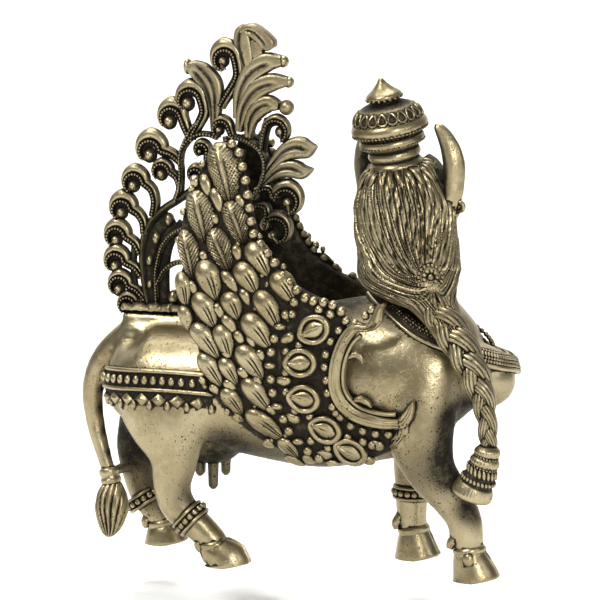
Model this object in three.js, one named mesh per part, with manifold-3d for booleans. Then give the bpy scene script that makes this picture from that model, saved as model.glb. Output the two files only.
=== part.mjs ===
// A small cast brass figure of the winged cow Kamdhenu: a walking cow with a woman's head and bust, two feathered
// wings, and a pierced peacock-tail fan that stands on her back between the wings.
// Millimetres, +X is the way the cow walks, +Y her left, +Z up. Run it with the npm packages three and manifold-3d.
import * as THREE from "three";
import { mergeVertices } from "three/addons/utils/BufferGeometryUtils.js";
import Module from "manifold-3d";

// Driving sizes, in millimetres.
const statueHeight = 149;
const fanThickness = 4.2;
const wingThickness = 3.4;
const fanFootWidth = 8;
const fanFootHeight = 2.6;
const seatClearance = 0.3;
const beadRadius = 1.15;
const railRadius = 0.8;

// The free forms are drawn at this height and scaled to the statue's own.
const drawnHeight = 149;
const unit = statueHeight / drawnHeight;
const brassColour = 0xa3935f;

const wasm = await Module();
wasm.setup();

const vec = (x, y, z) => new THREE.Vector3(x, y, z);
const at = (x, y, z) => vec(x, y, z).multiplyScalar(unit);

// Turns a closed three.js geometry into a solid that can be joined and cut.
function solid(geometry) {
  const plain = geometry.clone();
  for (const name of ["normal", "uv"]) plain.deleteAttribute(name);
  const merged = mergeVertices(plain, 1e-4);
  return new wasm.Manifold(
    new wasm.Mesh({
      numProp: 3,
      vertProperties: merged.attributes.position.array,
      triVerts: new Uint32Array(merged.index.array),
    }),
  );
}

// The mirror image on the other side of the middle plane, with its faces turned back outwards.
function mirrored(geometry) {
  const other = geometry.index ? geometry.toNonIndexed() : geometry.clone();
  other.scale(1, -1, 1);
  const p = other.attributes.position;
  for (let i = 0; i < p.count; i += 3) {
    const [x, y, z] = [p.getX(i), p.getY(i), p.getZ(i)];
    p.setXYZ(i, p.getX(i + 1), p.getY(i + 1), p.getZ(i + 1));
    p.setXYZ(i + 1, x, y, z);
  }
  return other;
}

const both = (geometry) => [geometry, mirrored(geometry)];
const join = (geometries) => geometries.map(solid).reduce((all, one) => all.add(one));

// A rounded body along a smooth line. Each station is [x, y, z, radius across, radius upright].
// swell(turn, along) may vary the radius around the body and along it.
function loft(stations, { sides = 10, steps = 2 * stations.length, across = [0, 1, 0], swell = () => 1 } = {}) {
  const line = new THREE.CatmullRomCurve3(stations.map((s) => at(s[0], s[1], s[2])));
  const sizes = new THREE.CatmullRomCurve3(stations.map((s) => at(s[3], s[4] ?? s[3], 0)));
  const geometry = new THREE.CylinderGeometry(1, 1, 1, sides, steps);
  const p = geometry.attributes.position;
  for (let i = 0; i < p.count; i++) {
    const along = 0.5 - p.getY(i);
    const centre = line.getPoint(along);
    const tangent = line.getTangent(along);
    const side = vec(...across);
    side.addScaledVector(tangent, -side.dot(tangent)).normalize();
    const upright = tangent.clone().cross(side);
    const size = sizes.getPoint(along);
    const grow = swell(Math.atan2(p.getZ(i), p.getX(i)), along);
    centre.addScaledVector(side, p.getX(i) * size.x * grow);
    centre.addScaledVector(upright, p.getZ(i) * size.y * grow);
    p.setXYZ(i, centre.x, centre.y, centre.z);
  }
  return geometry;
}

// An egg or almond of the given half sizes, turned by pitch about Y and then moved to a point.
function almond(centre, half, { sides = 6, rings = 3, pitch = 0, yaw = 0, roll = 0 } = {}) {
  const geometry = new THREE.SphereGeometry(1, sides, rings);
  geometry.scale(half[0], half[1], half[2]);
  geometry.rotateX(roll);
  geometry.rotateY(pitch);
  geometry.rotateZ(yaw);
  return geometry.translate(centre.x, centre.y, centre.z);
}

const bead = (centre, radius = beadRadius) =>
  new THREE.OctahedronGeometry(radius * 1.15, 0).translate(centre.x, centre.y, centre.z);

// A point partway along a table of rows, each row starting with the value that is looked up.
function between(table, value) {
  const last = table.length - 1;
  let i = table.findIndex((row) => row[0] >= value);
  i = i < 0 ? last : Math.max(1, i);
  const [low, high] = [table[i - 1], table[i]];
  const share = THREE.MathUtils.clamp((value - low[0]) / (high[0] - low[0]), 0, 1);
  return low.map((v, k) => v + (high[k] - v) * share);
}

// The trunk from the rump to the chest, as rows of place along the back, height, half width and half depth.
const trunk = [
  [-56.2, 54.8, 4, 3],
  [-54.6, 54.4, 9.5, 6.8],
  [-51, 52.2, 14, 10.6],
  [-45.6, 50.6, 16.6, 14.4],
  [-37, 49.6, 17.8, 16],
  [-26, 48.9, 17.6, 16.5],
  [-12, 48, 17.6, 19.2],
  [6, 49.2, 18, 22.6],
  [22, 52.2, 18.3, 22.6],
  [34, 54.6, 18, 19.2],
  [44, 55, 15.6, 14.4],
  [51, 55, 9, 8.4],
];

const torso = () =>
  loft(
    trunk.map(([x, z, wide, deep]) => [x, 0, z, wide, deep]),
    { sides: 12, steps: 12 },
  );

// How far out the trunk's skin lies at a place along the back and a height.
function flank(x, z) {
  const [, middle, wide, deep] = between(trunk, x);
  return wide * Math.sqrt(Math.max(0, 1 - ((z - middle) / deep) ** 2));
}

// A leg with its hoof, which flares to the ground, its dewclaws and perhaps an anklet.
function leg(stations, y, hoof, anklet) {
  const { toe, heel, coronet } = hoof;
  const middle = (toe + heel) / 2;
  const half = (toe - heel) / 2;
  const [topX, topZ] = coronet;
  const rows = [
    ...stations,
    [topX, y, topZ, 4, 4],
    [topX + 0.4, y, topZ * 0.82, 4.7, 4.9],
    [middle - 0.3, y, 1.5, 5.3, half * 0.97],
    [middle, y, -2, 5.4, half * 1.02],
  ];
  const dewclaw = almond(at(heel + 1.4, y, topZ * 0.92), [2.2, 3.6, 1.5].map((v) => v * unit), {
    sides: 5,
    rings: 2,
    pitch: 0.5,
  });
  const shapes = [loft(rows, { sides: 7, steps: rows.length - 1 }), dewclaw];
  if (anklet) {
    const { from, to, radius } = anklet;
    const band = [from, to].map(([x, z]) => [x, y, z, radius]);
    shapes.push(loft(band, { sides: 8, steps: 1 }));
  }
  return shapes;
}

function legs() {
  return [
    ...leg(
      [
        [-35.4, -8, 52, 9, 14.6],
        [-34.8, -10.4, 43.6, 8.4, 14],
        [-33.4, -12, 36, 6.8, 11],
        [-32.4, -12.3, 28.6, 5.3, 6.8],
        [-33, -12.2, 21, 4.5, 5.2],
        [-31.4, -12, 16, 4.3, 5],
        [-25.6, -12, 10.6, 4, 4.4],
      ],
      -12,
      { toe: -10.4, heel: -23.6, coronet: [-21, 6.2] },
      { from: [-29.4, 14.2], to: [-26, 11.4], radius: 5.7 },
    ),
    ...leg(
      [
        [-42, 8, 52, 9, 12.5],
        [-44, 10.5, 43, 8, 11],
        [-47.4, 12, 34, 6.1, 7.8],
        [-49.8, 12.3, 27, 5, 5.6],
        [-50.8, 12.2, 20, 4.5, 5.1],
        [-49.2, 12, 14, 4.3, 4.9],
        [-46.2, 12, 9.6, 4, 4.6],
      ],
      12,
      { toe: -36.2, heel: -49, coronet: [-43.8, 6.2] },
      { from: [-49.6, 15.4], to: [-47.6, 11.8], radius: 5.7 },
    ),
    ...leg(
      [
        [35.5, -8.5, 56, 9, 13.6],
        [36.2, -11, 47, 7.8, 11.2],
        [37.4, -12.4, 37.5, 6.7, 9.2],
        [40.4, -12.1, 29, 5.7, 6.9],
        [45.8, -12, 22.2, 4.9, 5.6],
        [49.4, -12, 16, 4.4, 4.7],
      ],
      -12,
      { toe: 59.8, heel: 46.2, coronet: [50.8, 8.6] },
    ),
    ...leg(
      [
        [34, 8.5, 56, 9, 14],
        [33, 11, 47, 7.8, 12],
        [31.4, 12.4, 38.5, 6.8, 9.4],
        [29.6, 12.2, 28, 5.4, 6.4],
        [28.8, 12, 20, 4.6, 4.9],
        [28.7, 12, 14, 4.2, 4.4],
      ],
      12,
      { toe: 37.2, heel: 24, coronet: [29.3, 8.4] },
      { from: [28.8, 21], to: [28.7, 17], radius: 5.8 },
    ),
  ];
}

// The tail with its bound knot and tassel, and the small web that ties it to the far hind leg.
function tail() {
  const flutes = 5;
  return [
    loft(
      [
        [-40, 0, 60.5, 6, 4.5],
        [-47, 0, 62.4, 5, 4],
        [-53, 0, 58.8, 4.2, 3.4],
        [-58, 0, 52.8, 3.7, 3.3],
        [-60.3, 0, 46, 3.4, 3.2],
        [-60.2, 0, 39, 3, 2.9],
        [-58.6, -0.4, 32, 2.7, 2.6],
        [-56, -1.2, 25, 2.3, 2.2],
        [-54.8, -1.8, 21, 2, 2],
      ],
      { sides: 6, steps: 10 },
    ),
    loft([[-55.8, -1.6, 24.4, 2.7], [-54.8, -1.9, 20.8, 3.1]], { sides: 8, steps: 1 }),
    loft(
      [
        [-54.6, -2, 21.6, 2.2],
        [-54.3, -2, 18.6, 3.7],
        [-54.2, -2, 14, 4.6],
        [-54.4, -2, 9.4, 4],
        [-54.8, -2, 5.8, 2.3],
        [-55, -2, 4.2, 0.7],
      ],
      { sides: 10, steps: 5, swell: (turn) => 1 + 0.06 * Math.cos(flutes * turn) },
    ),
    loft([[-56, -0.5, 22.4, 1.7], [-52, 9, 23, 2.2]], { sides: 5, steps: 1, across: [0, 0, 1] }),
  ];
}

// Udder with four teats.
function udder() {
  const shapes = [almond(at(-25.4, 0, 31.4), [8.6, 8.5, 5.4].map((v) => v * unit), { sides: 8, rings: 4 })];
  const teatReach = 4;
  for (const side of [-1, 1])
    for (const [x, tip] of [[-28.8, 21.4], [-23.2, 23]])
      shapes.push(
        loft(
          [[x, teatReach * side, 30, 1.8], [x, teatReach * side, tip + 2.6, 1.5], [x, teatReach * side, tip, 0.7]],
          { sides: 4, steps: 2 },
        ),
      );
  return shapes;
}

// The band of rails, beads and lozenges round the rump, from wing to wing. It is laid on the trunk's skin, as seen
// from a centre inside the rump, and dips a little behind, under the tail.
const rump = { centre: -36, dip: 2, first: 0.4 * Math.PI, last: 1.6 * Math.PI };

function rumpPoint(share, height, out) {
  const turn = rump.first + (rump.last - rump.first) * share;
  const z = height - rump.dip * Math.cos(turn) ** 2;
  let [near, far] = [2, 24];
  for (let halving = 0; halving < 12; halving++) {
    const reach = (near + far) / 2;
    const inside = Math.abs(reach * Math.sin(turn)) < flank(rump.centre + reach * Math.cos(turn), z);
    if (inside) near = reach;
    else far = reach;
  }
  return { turn, place: [rump.centre + (near + out) * Math.cos(turn), (near + out) * Math.sin(turn), z] };
}

function rumpBand() {
  const shapes = [];
  const spans = 12;
  for (const height of [54.8, 48.8]) {
    const points = [];
    for (let i = 0; i <= spans; i++)
      points.push([...rumpPoint(i / spans, height, -0.35).place, railRadius / unit]);
    shapes.push(loft(points, { sides: 4, steps: spans, across: [0, 0, 1] }));
  }
  const beads = 13;
  for (let i = 0; i < beads; i++) shapes.push(bead(at(...rumpPoint((i + 0.5) / beads, 51.8, 0).place)));
  const lozenges = 9;
  for (let i = 0; i < lozenges; i++) {
    const { turn, place } = rumpPoint((i + 0.5) / lozenges, 45.6, -0.1);
    const lozenge = new THREE.OctahedronGeometry(1, 0).scale(1.5 * unit, 2.2 * unit, 1.9 * unit).rotateZ(turn);
    const p = at(...place);
    shapes.push(lozenge.translate(p.x, p.y, p.z));
  }
  return shapes;
}

// The wing's levels: height, back edge, front edge, and how far out its middle surface lies.
const wingLevels = [
  [28.8, 7, 14, 9.8],
  [31.5, 0, 23, 11.8],
  [36, -8, 32.6, 14.4],
  [40.5, -14, 34.6, 16.2],
  [45, -18.4, 29, 17.6],
  [50, -21.4, 19, 18.6],
  [56, -23.4, 15.4, 19.2],
  [64, -25.2, 16.6, 19.4],
  [71, -26.7, 19.6, 19.2],
  [75.4, -27.4, 13, 18.9],
  [79, -28.2, 4.4, 18.5],
  [84, -29.2, -2.4, 17.9],
  [91, -30.2, -6, 16.8],
  [98, -29.6, -8.4, 15.7],
  [105, -27, -10.3, 14.6],
  [111, -24.4, -12.2, 13.5],
  [115.6, -22.4, -14.6, 12.6],
  [117, -21, -18, 12.3],
];

// The row of beads that ends the feathers: height and place along the wing.
const featherEnd = [
  [33, 7.4],
  [38, 2.8],
  [43, 0.8],
  [49, -1.7],
  [55, -2.6],
  [61, -2.4],
  [67, -0.3],
  [72, 2.6],
  [77, 7],
  [79, 4.4],
  [84, -2.4],
  [91, -6],
  [98, -8.4],
  [105, -10.3],
  [111, -12.2],
  [115.6, -14.6],
];

const wingPoint = (x, z, out = 0) => {
  const [, , , y] = between(wingLevels, z);
  return at(x, -y, z).add(vec(0, -(wingThickness / 2 + out), 0));
};

// The wing is a slab bent round the flank. Its outer face rises in staggered feathers, one every second
// column and rank of its net, which end at the bead row. Its inner face is plain.
const plumage = { across: 6, ranks: 14, relief: 1.9, slant: 1.6, lift: 1.2, lowest: 37 };

function wing() {
  const { across, ranks, relief, slant, lift, lowest } = plumage;
  const columns = across + 1;
  const geometry = new THREE.BoxGeometry(1, 1, 1, columns, 1, ranks);
  const p = geometry.attributes.position;
  const [low, high] = [wingLevels[0][0], wingLevels.at(-1)[0]];
  const raised = [];
  for (let i = 0; i < p.count; i++) {
    const rank = Math.round((p.getZ(i) + 0.5) * ranks);
    const column = Math.round((p.getX(i) + 0.5) * columns);
    const level = low + ((high - low) * rank) / ranks;
    const inside = column > 0 && column < across && rank > 0 && rank < ranks && level > lowest;
    const outer = p.getY(i) < 0;
    raised[i] = outer && inside && (column + rank) % 2 === 1;
    const z = level + (inside && (column + rank) % 2 === 1 ? lift : 0);
    const [, back, front, y] = between(wingLevels, z);
    const end = Math.min(front, between(featherEnd, z)[1]);
    const along = column === columns ? front : back + ((end - back) * column) / across;
    const x = along - (z > level ? slant : 0);
    const out = (outer ? 0.5 : -0.5) * (wingThickness / unit) + (raised[i] ? relief : 0);
    const place = at(x, -(y + out), z);
    p.setXYZ(i, place.x, place.y, place.z);
  }
  // Each quad of the net is split between its two low corners, so that every feather is a clean ridge.
  const index = geometry.index.array;
  for (let i = 0; i < index.length; i += 6) {
    const [a, b, d, , c] = index.slice(i, i + 6);
    if (raised[b] || raised[d]) index.set([a, b, c, a, c, d], i);
  }
  return geometry;
}

// Beads down the front edge of the wing and between the feathers and the shoulder panel.
function wingBeads() {
  const shapes = [];
  const edge = new THREE.CatmullRomCurve3(
    [[-14.8, 114.6], [-12, 108], [-9, 98], [-6.6, 90.5], [-2.6, 83.4], [4, 78.4], [12.6, 75]]
      .map(([x, z]) => wingPoint(x, z, -0.6)),
  );
  const inner = new THREE.CatmullRomCurve3(
    featherEnd.slice(0, 8).map(([z, x]) => wingPoint(x, z, -0.2)),
  );
  for (const [line, count] of [[edge, 9], [inner, 6]])
    line.getSpacedPoints(count - 1).forEach((p) => shapes.push(bead(p)));
  return shapes;
}

// The seed-shaped bosses of the shoulder panel: place along and up the wing, and pitch.
const medallionPlaces = [[11.6, 68, -0.5], [6.6, 58.4, -0.15], [7.4, 48.6, 0], [13.2, 39.6, 0.4], [21.4, 34.2, 0.5]];

const medallions = () =>
  medallionPlaces.map(([x, z, pitch]) =>
    almond(wingPoint(x, z, -0.8 * unit), [4, 2.6, 3.3].map((v) => v * unit), { sides: 7, rings: 2, pitch }),
  );

// The C-shaped scroll that frames the shoulder.
function shoulderScroll() {
  const points = [
    [27, 70.6], [24.4, 68.8], [21.6, 69.8], [18.6, 66.6], [16.3, 61.5], [15.6, 55.6],
    [17.4, 49.6], [21.6, 45.6], [27, 43.8], [32.4, 43.6], [35.4, 45.4], [36, 48.8],
  ];
  const sizes = [0.7, 1, 1.3, 1.4, 1.5, 1.6, 1.7, 1.7, 1.6, 1.5, 1.2, 0.6];
  return loft(
    points.map(([x, z], i) => [x, -(between(wingLevels, z)[3] + 1.2), z, sizes[i], sizes[i]]),
    { sides: 4, steps: 11 },
  );
}

function wings() {
  return [wing(), ...wingBeads(), ...medallions(), shoulderScroll()].flatMap(both);
}

// The collar is an oval that slopes down from the withers to the bust.
const collar = { x: 38.3, z: 69.4, long: 20.8, wide: 17.8, slope: -0.47 };
const collarPoint = (turn, inset = 0, lift = 0) => {
  const x = collar.x + (collar.long - inset) * Math.cos(turn);
  const y = (collar.wide - inset) * Math.sin(turn);
  return [x, y, collar.z + collar.slope * (x - collar.x) + lift];
};

function collarRing() {
  const shapes = [];
  for (const [inset, lift, radius] of [[0, 0, 1.1], [3.2, 0.5, 1.6]]) {
    const ring = new THREE.TorusGeometry(1, 0.1, 4, 12);
    const p = ring.attributes.position;
    for (let i = 0; i < p.count; i++) {
      const turn = Math.atan2(p.getY(i), p.getX(i));
      const out = (Math.hypot(p.getX(i), p.getY(i)) - 1) * 10 * radius;
      const [x, y, z] = collarPoint(turn, inset - out, lift);
      const place = at(x, y, z + p.getZ(i) * 10 * radius);
      p.setXYZ(i, place.x, place.y, place.z);
    }
    shapes.push(ring);
  }
  return shapes;
}

// The head is turned to her left and leans back a little; these turn its own places into the figure's.
const faceTurn = THREE.MathUtils.degToRad(70);
const headSeat = vec(30.4, -1.5, 97.6);
const headLean = vec(-0.15, -0.17, 1).normalize();
const headTurn = new THREE.Quaternion()
  .setFromUnitVectors(vec(0, 0, 1), headLean)
  .multiply(new THREE.Quaternion().setFromAxisAngle(vec(0, 0, 1), faceTurn));
// In the head's own frame +X is where the face looks, +Y its left, and +Z up.
const headPlace = (x, y, z) => vec(x, y, z).applyQuaternion(headTurn).add(headSeat);
const headStations = (rows) => rows.map(([x, y, z, ...sizes]) => [...headPlace(x, y, z).toArray(), ...sizes]);
const headAlmond = (x, y, z, half, options) =>
  almond(vec(x, y, z), half, options)
    .applyQuaternion(headTurn)
    .translate(headSeat.x, headSeat.y, headSeat.z)
    .scale(unit, unit, unit);

function face() {
  const front = { across: headPlace(0, 1, 0).sub(headSeat).toArray() };
  const small = { sides: 5, rings: 2 };
  return [
    loft(
      headStations([
        [4.6, 0, -13.4, 2.6, 2],
        [4.2, 0, -11.6, 5.2, 4.6],
        [2.4, 0, -7, 8.4, 8.4],
        [1, 0, 0, 10, 10.4],
        [0, 0, 7, 9.8, 10],
        [0, 0, 13, 7, 7],
      ]),
      { sides: 10, steps: 6, ...front },
    ),
    headAlmond(11, 0, -2.2, [1.8, 1.3, 3.2], { ...small, pitch: -0.25 }),
    headAlmond(9.2, 0, -7.2, [1.8, 2.4, 1.1], small),
    headAlmond(7.4, 0, -11.2, [2.2, 2.4, 1.8], small),
    ...[-1, 1].map((s) => headAlmond(9.4, 3.7 * s, 0.8, [1.5, 2.3, 1.1], small)),
    ...[-1, 1].map((s) => headAlmond(3, 11.6 * s, 3, [2, 3.8, 1.8], { ...small, roll: 0.35 * s })),
    ...[-1, 1].map((s) => headAlmond(1, 10 * s, -3.6, [1.9, 1.8, 3.4], small)),
  ];
}

// Two crescent horns, one each side of the crown.
function horns() {
  return [-1, 1].map((s) =>
    loft(
      headStations([
        [3, 8.6 * s, 1, 3.8, 3.8],
        [5, 11.8 * s, 4, 3.7, 3.6],
        [6, 13.8 * s, 8.8, 3.4, 3.3],
        [6, 14 * s, 14.4, 2.9, 2.8],
        [5.2, 12.6 * s, 19.4, 2.1, 2],
        [4.4, 10.4 * s, 24, 0.9, 0.9],
      ]),
      { sides: 6, steps: 6, across: headPlace(1, 0, 0).sub(headSeat).toArray() },
    ),
  );
}

// The stepped crown, turned as one: three rolls, a flaring rim, a dome and a pointed finial.
function crown() {
  const profile = [
    [0, 9], [8.4, 12], [7, 15.2], [7.6, 17.4], [6.8, 18.8], [9.6, 21], [8.4, 22.6], [11.2, 25.6],
    [9.6, 30.6], [5.4, 34], [3.6, 34.6], [4.9, 36.6], [2.7, 39.4], [0, 43],
  ];
  const points = profile.map(([r, h]) => new THREE.Vector2(r, h));
  const turned = new THREE.LatheGeometry(points, 10).rotateX(Math.PI / 2);
  return turned
    .applyQuaternion(headTurn)
    .translate(headSeat.x + 0.6, headSeat.y, headSeat.z - 4.4)
    .scale(unit, unit, unit);
}

// Neck, bust and the necklace on the far shoulder.
function bust() {
  const neck = loft(
    [
      [38, 0, 61, 15, 17],
      [36, 0, 67.4, 12.6, 13.4],
      [33.6, 0, 74, 9, 9.4],
      [32.4, 0, 81, 7.2, 7.4],
      [31.6, -0.5, 90, 7.4, 7.4],
    ],
    { sides: 10, steps: 4 },
  );
  const breast = { sides: 8, rings: 5 };
  return [
    neck,
    almond(at(50.6, -3.4, 54.6), [11.4, 8.6, 9].map((s) => s * unit), { ...breast, pitch: 0.25 }),
    almond(at(47.6, 9, 54.6), [10.8, 8.8, 9].map((s) => s * unit), { ...breast, pitch: 0.2, yaw: 0.5 }),
  ];
}

// The hair falls behind the head to a flower clip, and on over the near shoulder as a plait with a tassel.
function hair() {
  const [locks, strands] = [7, 4];
  const [lockRelief, plaitRelief] = [0.055, 0.17];
  return [
    loft(
      [
        [29, -3, 110.4, 7.6, 8],
        [30.2, -3.5, 105.4, 12, 11.8],
        [31.4, -4.4, 98, 12.6, 13.4],
        [32.2, -5.6, 90, 12.4, 13.4],
        [33.2, -7.4, 83, 11.8, 12.6],
        [36.8, -11, 76.6, 9, 10.4],
        [40.6, -14.2, 71.4, 6, 8],
        [46, -17, 65.2, 5, 6.2],
      ],
      { sides: 14, steps: 5, swell: (turn) => 1 + lockRelief * Math.cos(locks * turn) },
    ),
    loft(
      [
        [43, -16, 68.6, 5.2, 6.6],
        [48, -18, 63.2, 4.8, 5.8],
        [52.2, -19, 57.6, 4.2, 4.8],
        [55.6, -18.8, 50.8, 3.6, 3.8],
        [56.8, -18, 45.4, 3, 3.1],
        [57, -17.2, 40.6, 2.8, 2.8],
      ],
      { sides: 6, steps: 10, swell: (turn, along) => 1 + plaitRelief * Math.cos(2 * turn + 2 * Math.PI * strands * along) },
    ),
    almond(at(40.2, -17.2, 79.2), [4.2, 3, 4.2].map((v) => v * unit), { sides: 8, rings: 2 }),
    loft(
      [
        [57.2, -17.2, 41.6, 2.8],
        [55.8, -16.4, 37, 4.6],
        [55.2, -16.2, 34.8, 4.1],
        [54.2, -15.7, 31.8, 5.4],
        [53.6, -15.4, 29.8, 4.9],
        [52.6, -15, 26, 6.5],
        [51.7, -14.5, 22.6, 3.6],
      ],
      { sides: 8, steps: 6 },
    ),
  ];
}

// The low ridge on the back that the fan's foot stands on.
const seat = { back: -50.6, front: -13, top: 67.9, depth: 12 };

function fanSeat() {
  const length = seat.front - seat.back;
  return new THREE.BoxGeometry(length * unit, fanFootWidth - 1, seat.depth * unit).translate(
    ((seat.front + seat.back) / 2) * unit,
    0,
    (seat.top - seat.depth / 2) * unit,
  );
}

function cow() {
  const ground = new THREE.BoxGeometry(200 * unit, 200 * unit, 20 * unit).translate(0, 0, -10 * unit);
  const shapes = [
    torso(), ...legs(), ...tail(), ...udder(), ...rumpBand(), ...wings(), ...collarRing(), ...face(),
    ...horns(), crown(), ...bust(), ...hair(), fanSeat(),
  ];
  return join(shapes).subtract(solid(ground));
}

// The fan is a pierced plate of scrolls in the plane of the back's ridge.
const flat = fanThickness / 2 / unit;
const degrees = Math.PI / 180;

// A bar of the scrollwork, lozenge shaped in section.
function stem(points, radius, steps = points.length - 1) {
  const rows = points.map(([x, z]) => [x, 0, z, flat, radius]);
  return loft(rows, { sides: 4, steps });
}

// A frond rises from its root and curls over a centre into a bud.
function frond(root, [x, z], size, start, sweep, radius = 1.3) {
  const points = root ? [root] : [];
  const turns = 5;
  for (let i = 0; i <= turns; i++) {
    const turn = (start + (sweep * i) / turns) * degrees;
    const reach = size * (1 - (0.55 * i) / turns);
    points.push([x + reach * Math.cos(turn), z + reach * Math.sin(turn)]);
  }
  const rows = points.map(([px, pz], i) => [px, 0, pz, flat, radius * (i < points.length - 2 ? 1 : 1.35)]);
  return loft(rows, { sides: 4, steps: points.length - 1 });
}

// A leaf swells from its stalk and tapers to a tip.
function leaf(points, width) {
  const sizes = [0.5, 0.9, 1, 0.72, 0.24];
  const rows = points.map(([x, z], i) => [x, 0, z, flat * (0.7 + 0.3 * sizes[i]), width * sizes[i]]);
  return loft(rows, { sides: 4, steps: 4 });
}

// The plain outer stem, and the fronds that leave it one above another.
const outerStem = [[-43.4, 69], [-44.8, 77], [-44.8, 85], [-42.6, 92], [-37, 97.6], [-27.4, 103.6], [-23.6, 109]];
const rimFronds = [
  [-49.8, 71.6, 3.6], [-51.8, 77.2, 3.6], [-52.8, 83.2, 3.7], [-52.6, 89.6, 3.8], [-51, 96.4, 4], [-47.6, 104.2, 4.2],
];

function fan() {
  const foot = new THREE.BoxGeometry((seat.front - seat.back + 1.4) * unit, fanFootWidth, fanFootHeight).translate(
    ((seat.front + seat.back - 1.4) / 2) * unit,
    0,
    seat.top * unit + seatClearance + fanFootHeight / 2,
  );
  const shapes = [
    foot,
    stem(outerStem, 1.2),
    stem([[-37.4, 69], [-38.8, 79], [-37, 88], [-36.4, 98], [-34.4, 104], [-34.2, 110], [-31.6, 116], [-25, 117.4]], 1.3),
    stem([[-32, 69], [-33.8, 78], [-32.4, 87], [-30, 95], [-28.6, 104]], 1.5),
    stem([[-43, 90.6], [-38, 86.6], [-32.6, 81]], 1.6, 1),
    stem([[-20.4, 69], [-20, 85], [-19.6, 100], [-20, 110], [-20.5, 118]], 1.9),
    stem([[-20, 117.4], [-14, 116.6], [-10.6, 113.4], [-9.8, 109], [-11, 104], [-14, 97], [-18.6, 90]], 1.3, 6),
    stem([[-14, 97], [-9, 101.6], [-2.8, 102.4]], 1.3, 2),
    stem([[-11.4, 105], [-11.4, 118]], 1.3, 1),
  ];
  for (const [x, z, size] of rimFronds)
    shapes.push(frond([x + size + 3.6, z - 5.4], [x, z], size, 15, 290));
  for (const [root, centre, size, start, sweep, radius] of [
    [[-35.6, 106], [-42.4, 112.6], 4.8, 5, 290, 1.4],
    [[-34.6, 113], [-37.6, 121.6], 4.2, 0, 290, 1.4],
    [[-31.6, 117], [-32, 127.6], 4.4, -10, 300, 1.4],
    [[-35.4, 100], [-39.2, 106.2], 3, 5, 290, 1.1],
    [[-23.4, 123], [-20.6, 138], 4.6, -25, 300, 1.5],
    [[-18.6, 117], [-22.4, 120.6], 3, -10, 290, 1.2],
    [[-11.4, 112], [-6.2, 119], 4.4, 185, -300, 1.3],
    [[-13, 98.6], [-3.2, 98.4], 4.6, 110, -290, 1.3],
    [[-14.6, 95.4], [-7.4, 90.2], 4.6, 100, -270, 1.3],
  ])
    shapes.push(frond(root, centre, size, start, sweep, radius));
  shapes.push(
    leaf([[-24.6, 117], [-25.4, 125], [-27, 131.6], [-29.6, 136], [-32.4, 137.4]], 2.8),
    leaf([[-21.4, 118], [-22, 126], [-22.6, 132], [-24.2, 136], [-26.8, 138.8]], 2.6),
    leaf([[-17.6, 126], [-15.6, 134], [-14.8, 140.6], [-13.8, 145.4], [-12.8, 149]], 3.8),
    leaf([[-14, 144.6], [-11.4, 146.4], [-9.2, 144.8], [-7.6, 142.2], [-6.6, 139.8]], 3),
    leaf([[-18.4, 119], [-16, 129], [-11.8, 135], [-7, 137.8], [-3.4, 138.4]], 2.6),
    leaf([[-15.8, 116.6], [-13.4, 124], [-10, 129.6], [-6, 132.2], [-2, 133.2]], 2.5),
    leaf([[-13.4, 115], [-11.4, 119.6], [-9.4, 123], [-7, 125.6], [-4.6, 127.4]], 2.2),
    leaf([[-11, 105], [-7.4, 110.6], [-3.4, 113.8], [1, 115], [4.8, 114.6]], 2.2),
    leaf([[-12.4, 98.6], [-8.6, 103.6], [-4.6, 106.6], [0, 108.4], [3.8, 108.6]], 2.1),
    almond(at(-3.8, 0, 125.2), [2.2, flat, 2.2].map((v) => v * unit), { sides: 5, rings: 2 }),
  );
  const under = new THREE.BoxGeometry(200 * unit, 60 * unit, 40 * unit).translate(
    0,
    0,
    (seat.top - 20) * unit + seatClearance,
  );
  return join(shapes).subtract(solid(under));
}

function geometryOf(manifold) {
  const { numProp, vertProperties, triVerts } = manifold.getMesh();
  const positions = new Float32Array((vertProperties.length / numProp) * 3);
  for (let i = 0; i < positions.length / 3; i++)
    positions.set(vertProperties.subarray(i * numProp, i * numProp + 3), i * 3);
  const geometry = new THREE.BufferGeometry();
  geometry.setAttribute("position", new THREE.BufferAttribute(positions, 3));
  geometry.setIndex(new THREE.BufferAttribute(triVerts, 1));
  return geometry;
}

function node(name, manifold) {
  const brass = new THREE.MeshStandardMaterial({ color: brassColour, metalness: 1, roughness: 0.42 });
  const mesh = new THREE.Mesh(geometryOf(manifold), brass);
  mesh.name = name;
  return mesh;
}

const statue = new THREE.Group();
statue.add(node("kamdhenu_cow", cow()), node("peacock_tail_fan", fan()));

// The origin is on the ground, under the middle of the whole.
const box = new THREE.Box3().setFromObject(statue, true);
statue.position.set(-(box.min.x + box.max.x) / 2, -(box.min.y + box.max.y) / 2, -box.min.z);

export default statue;
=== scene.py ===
import math

import bmesh
import bpy
import numpy as np
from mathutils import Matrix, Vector
from mathutils.bvhtree import BVHTree


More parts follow.
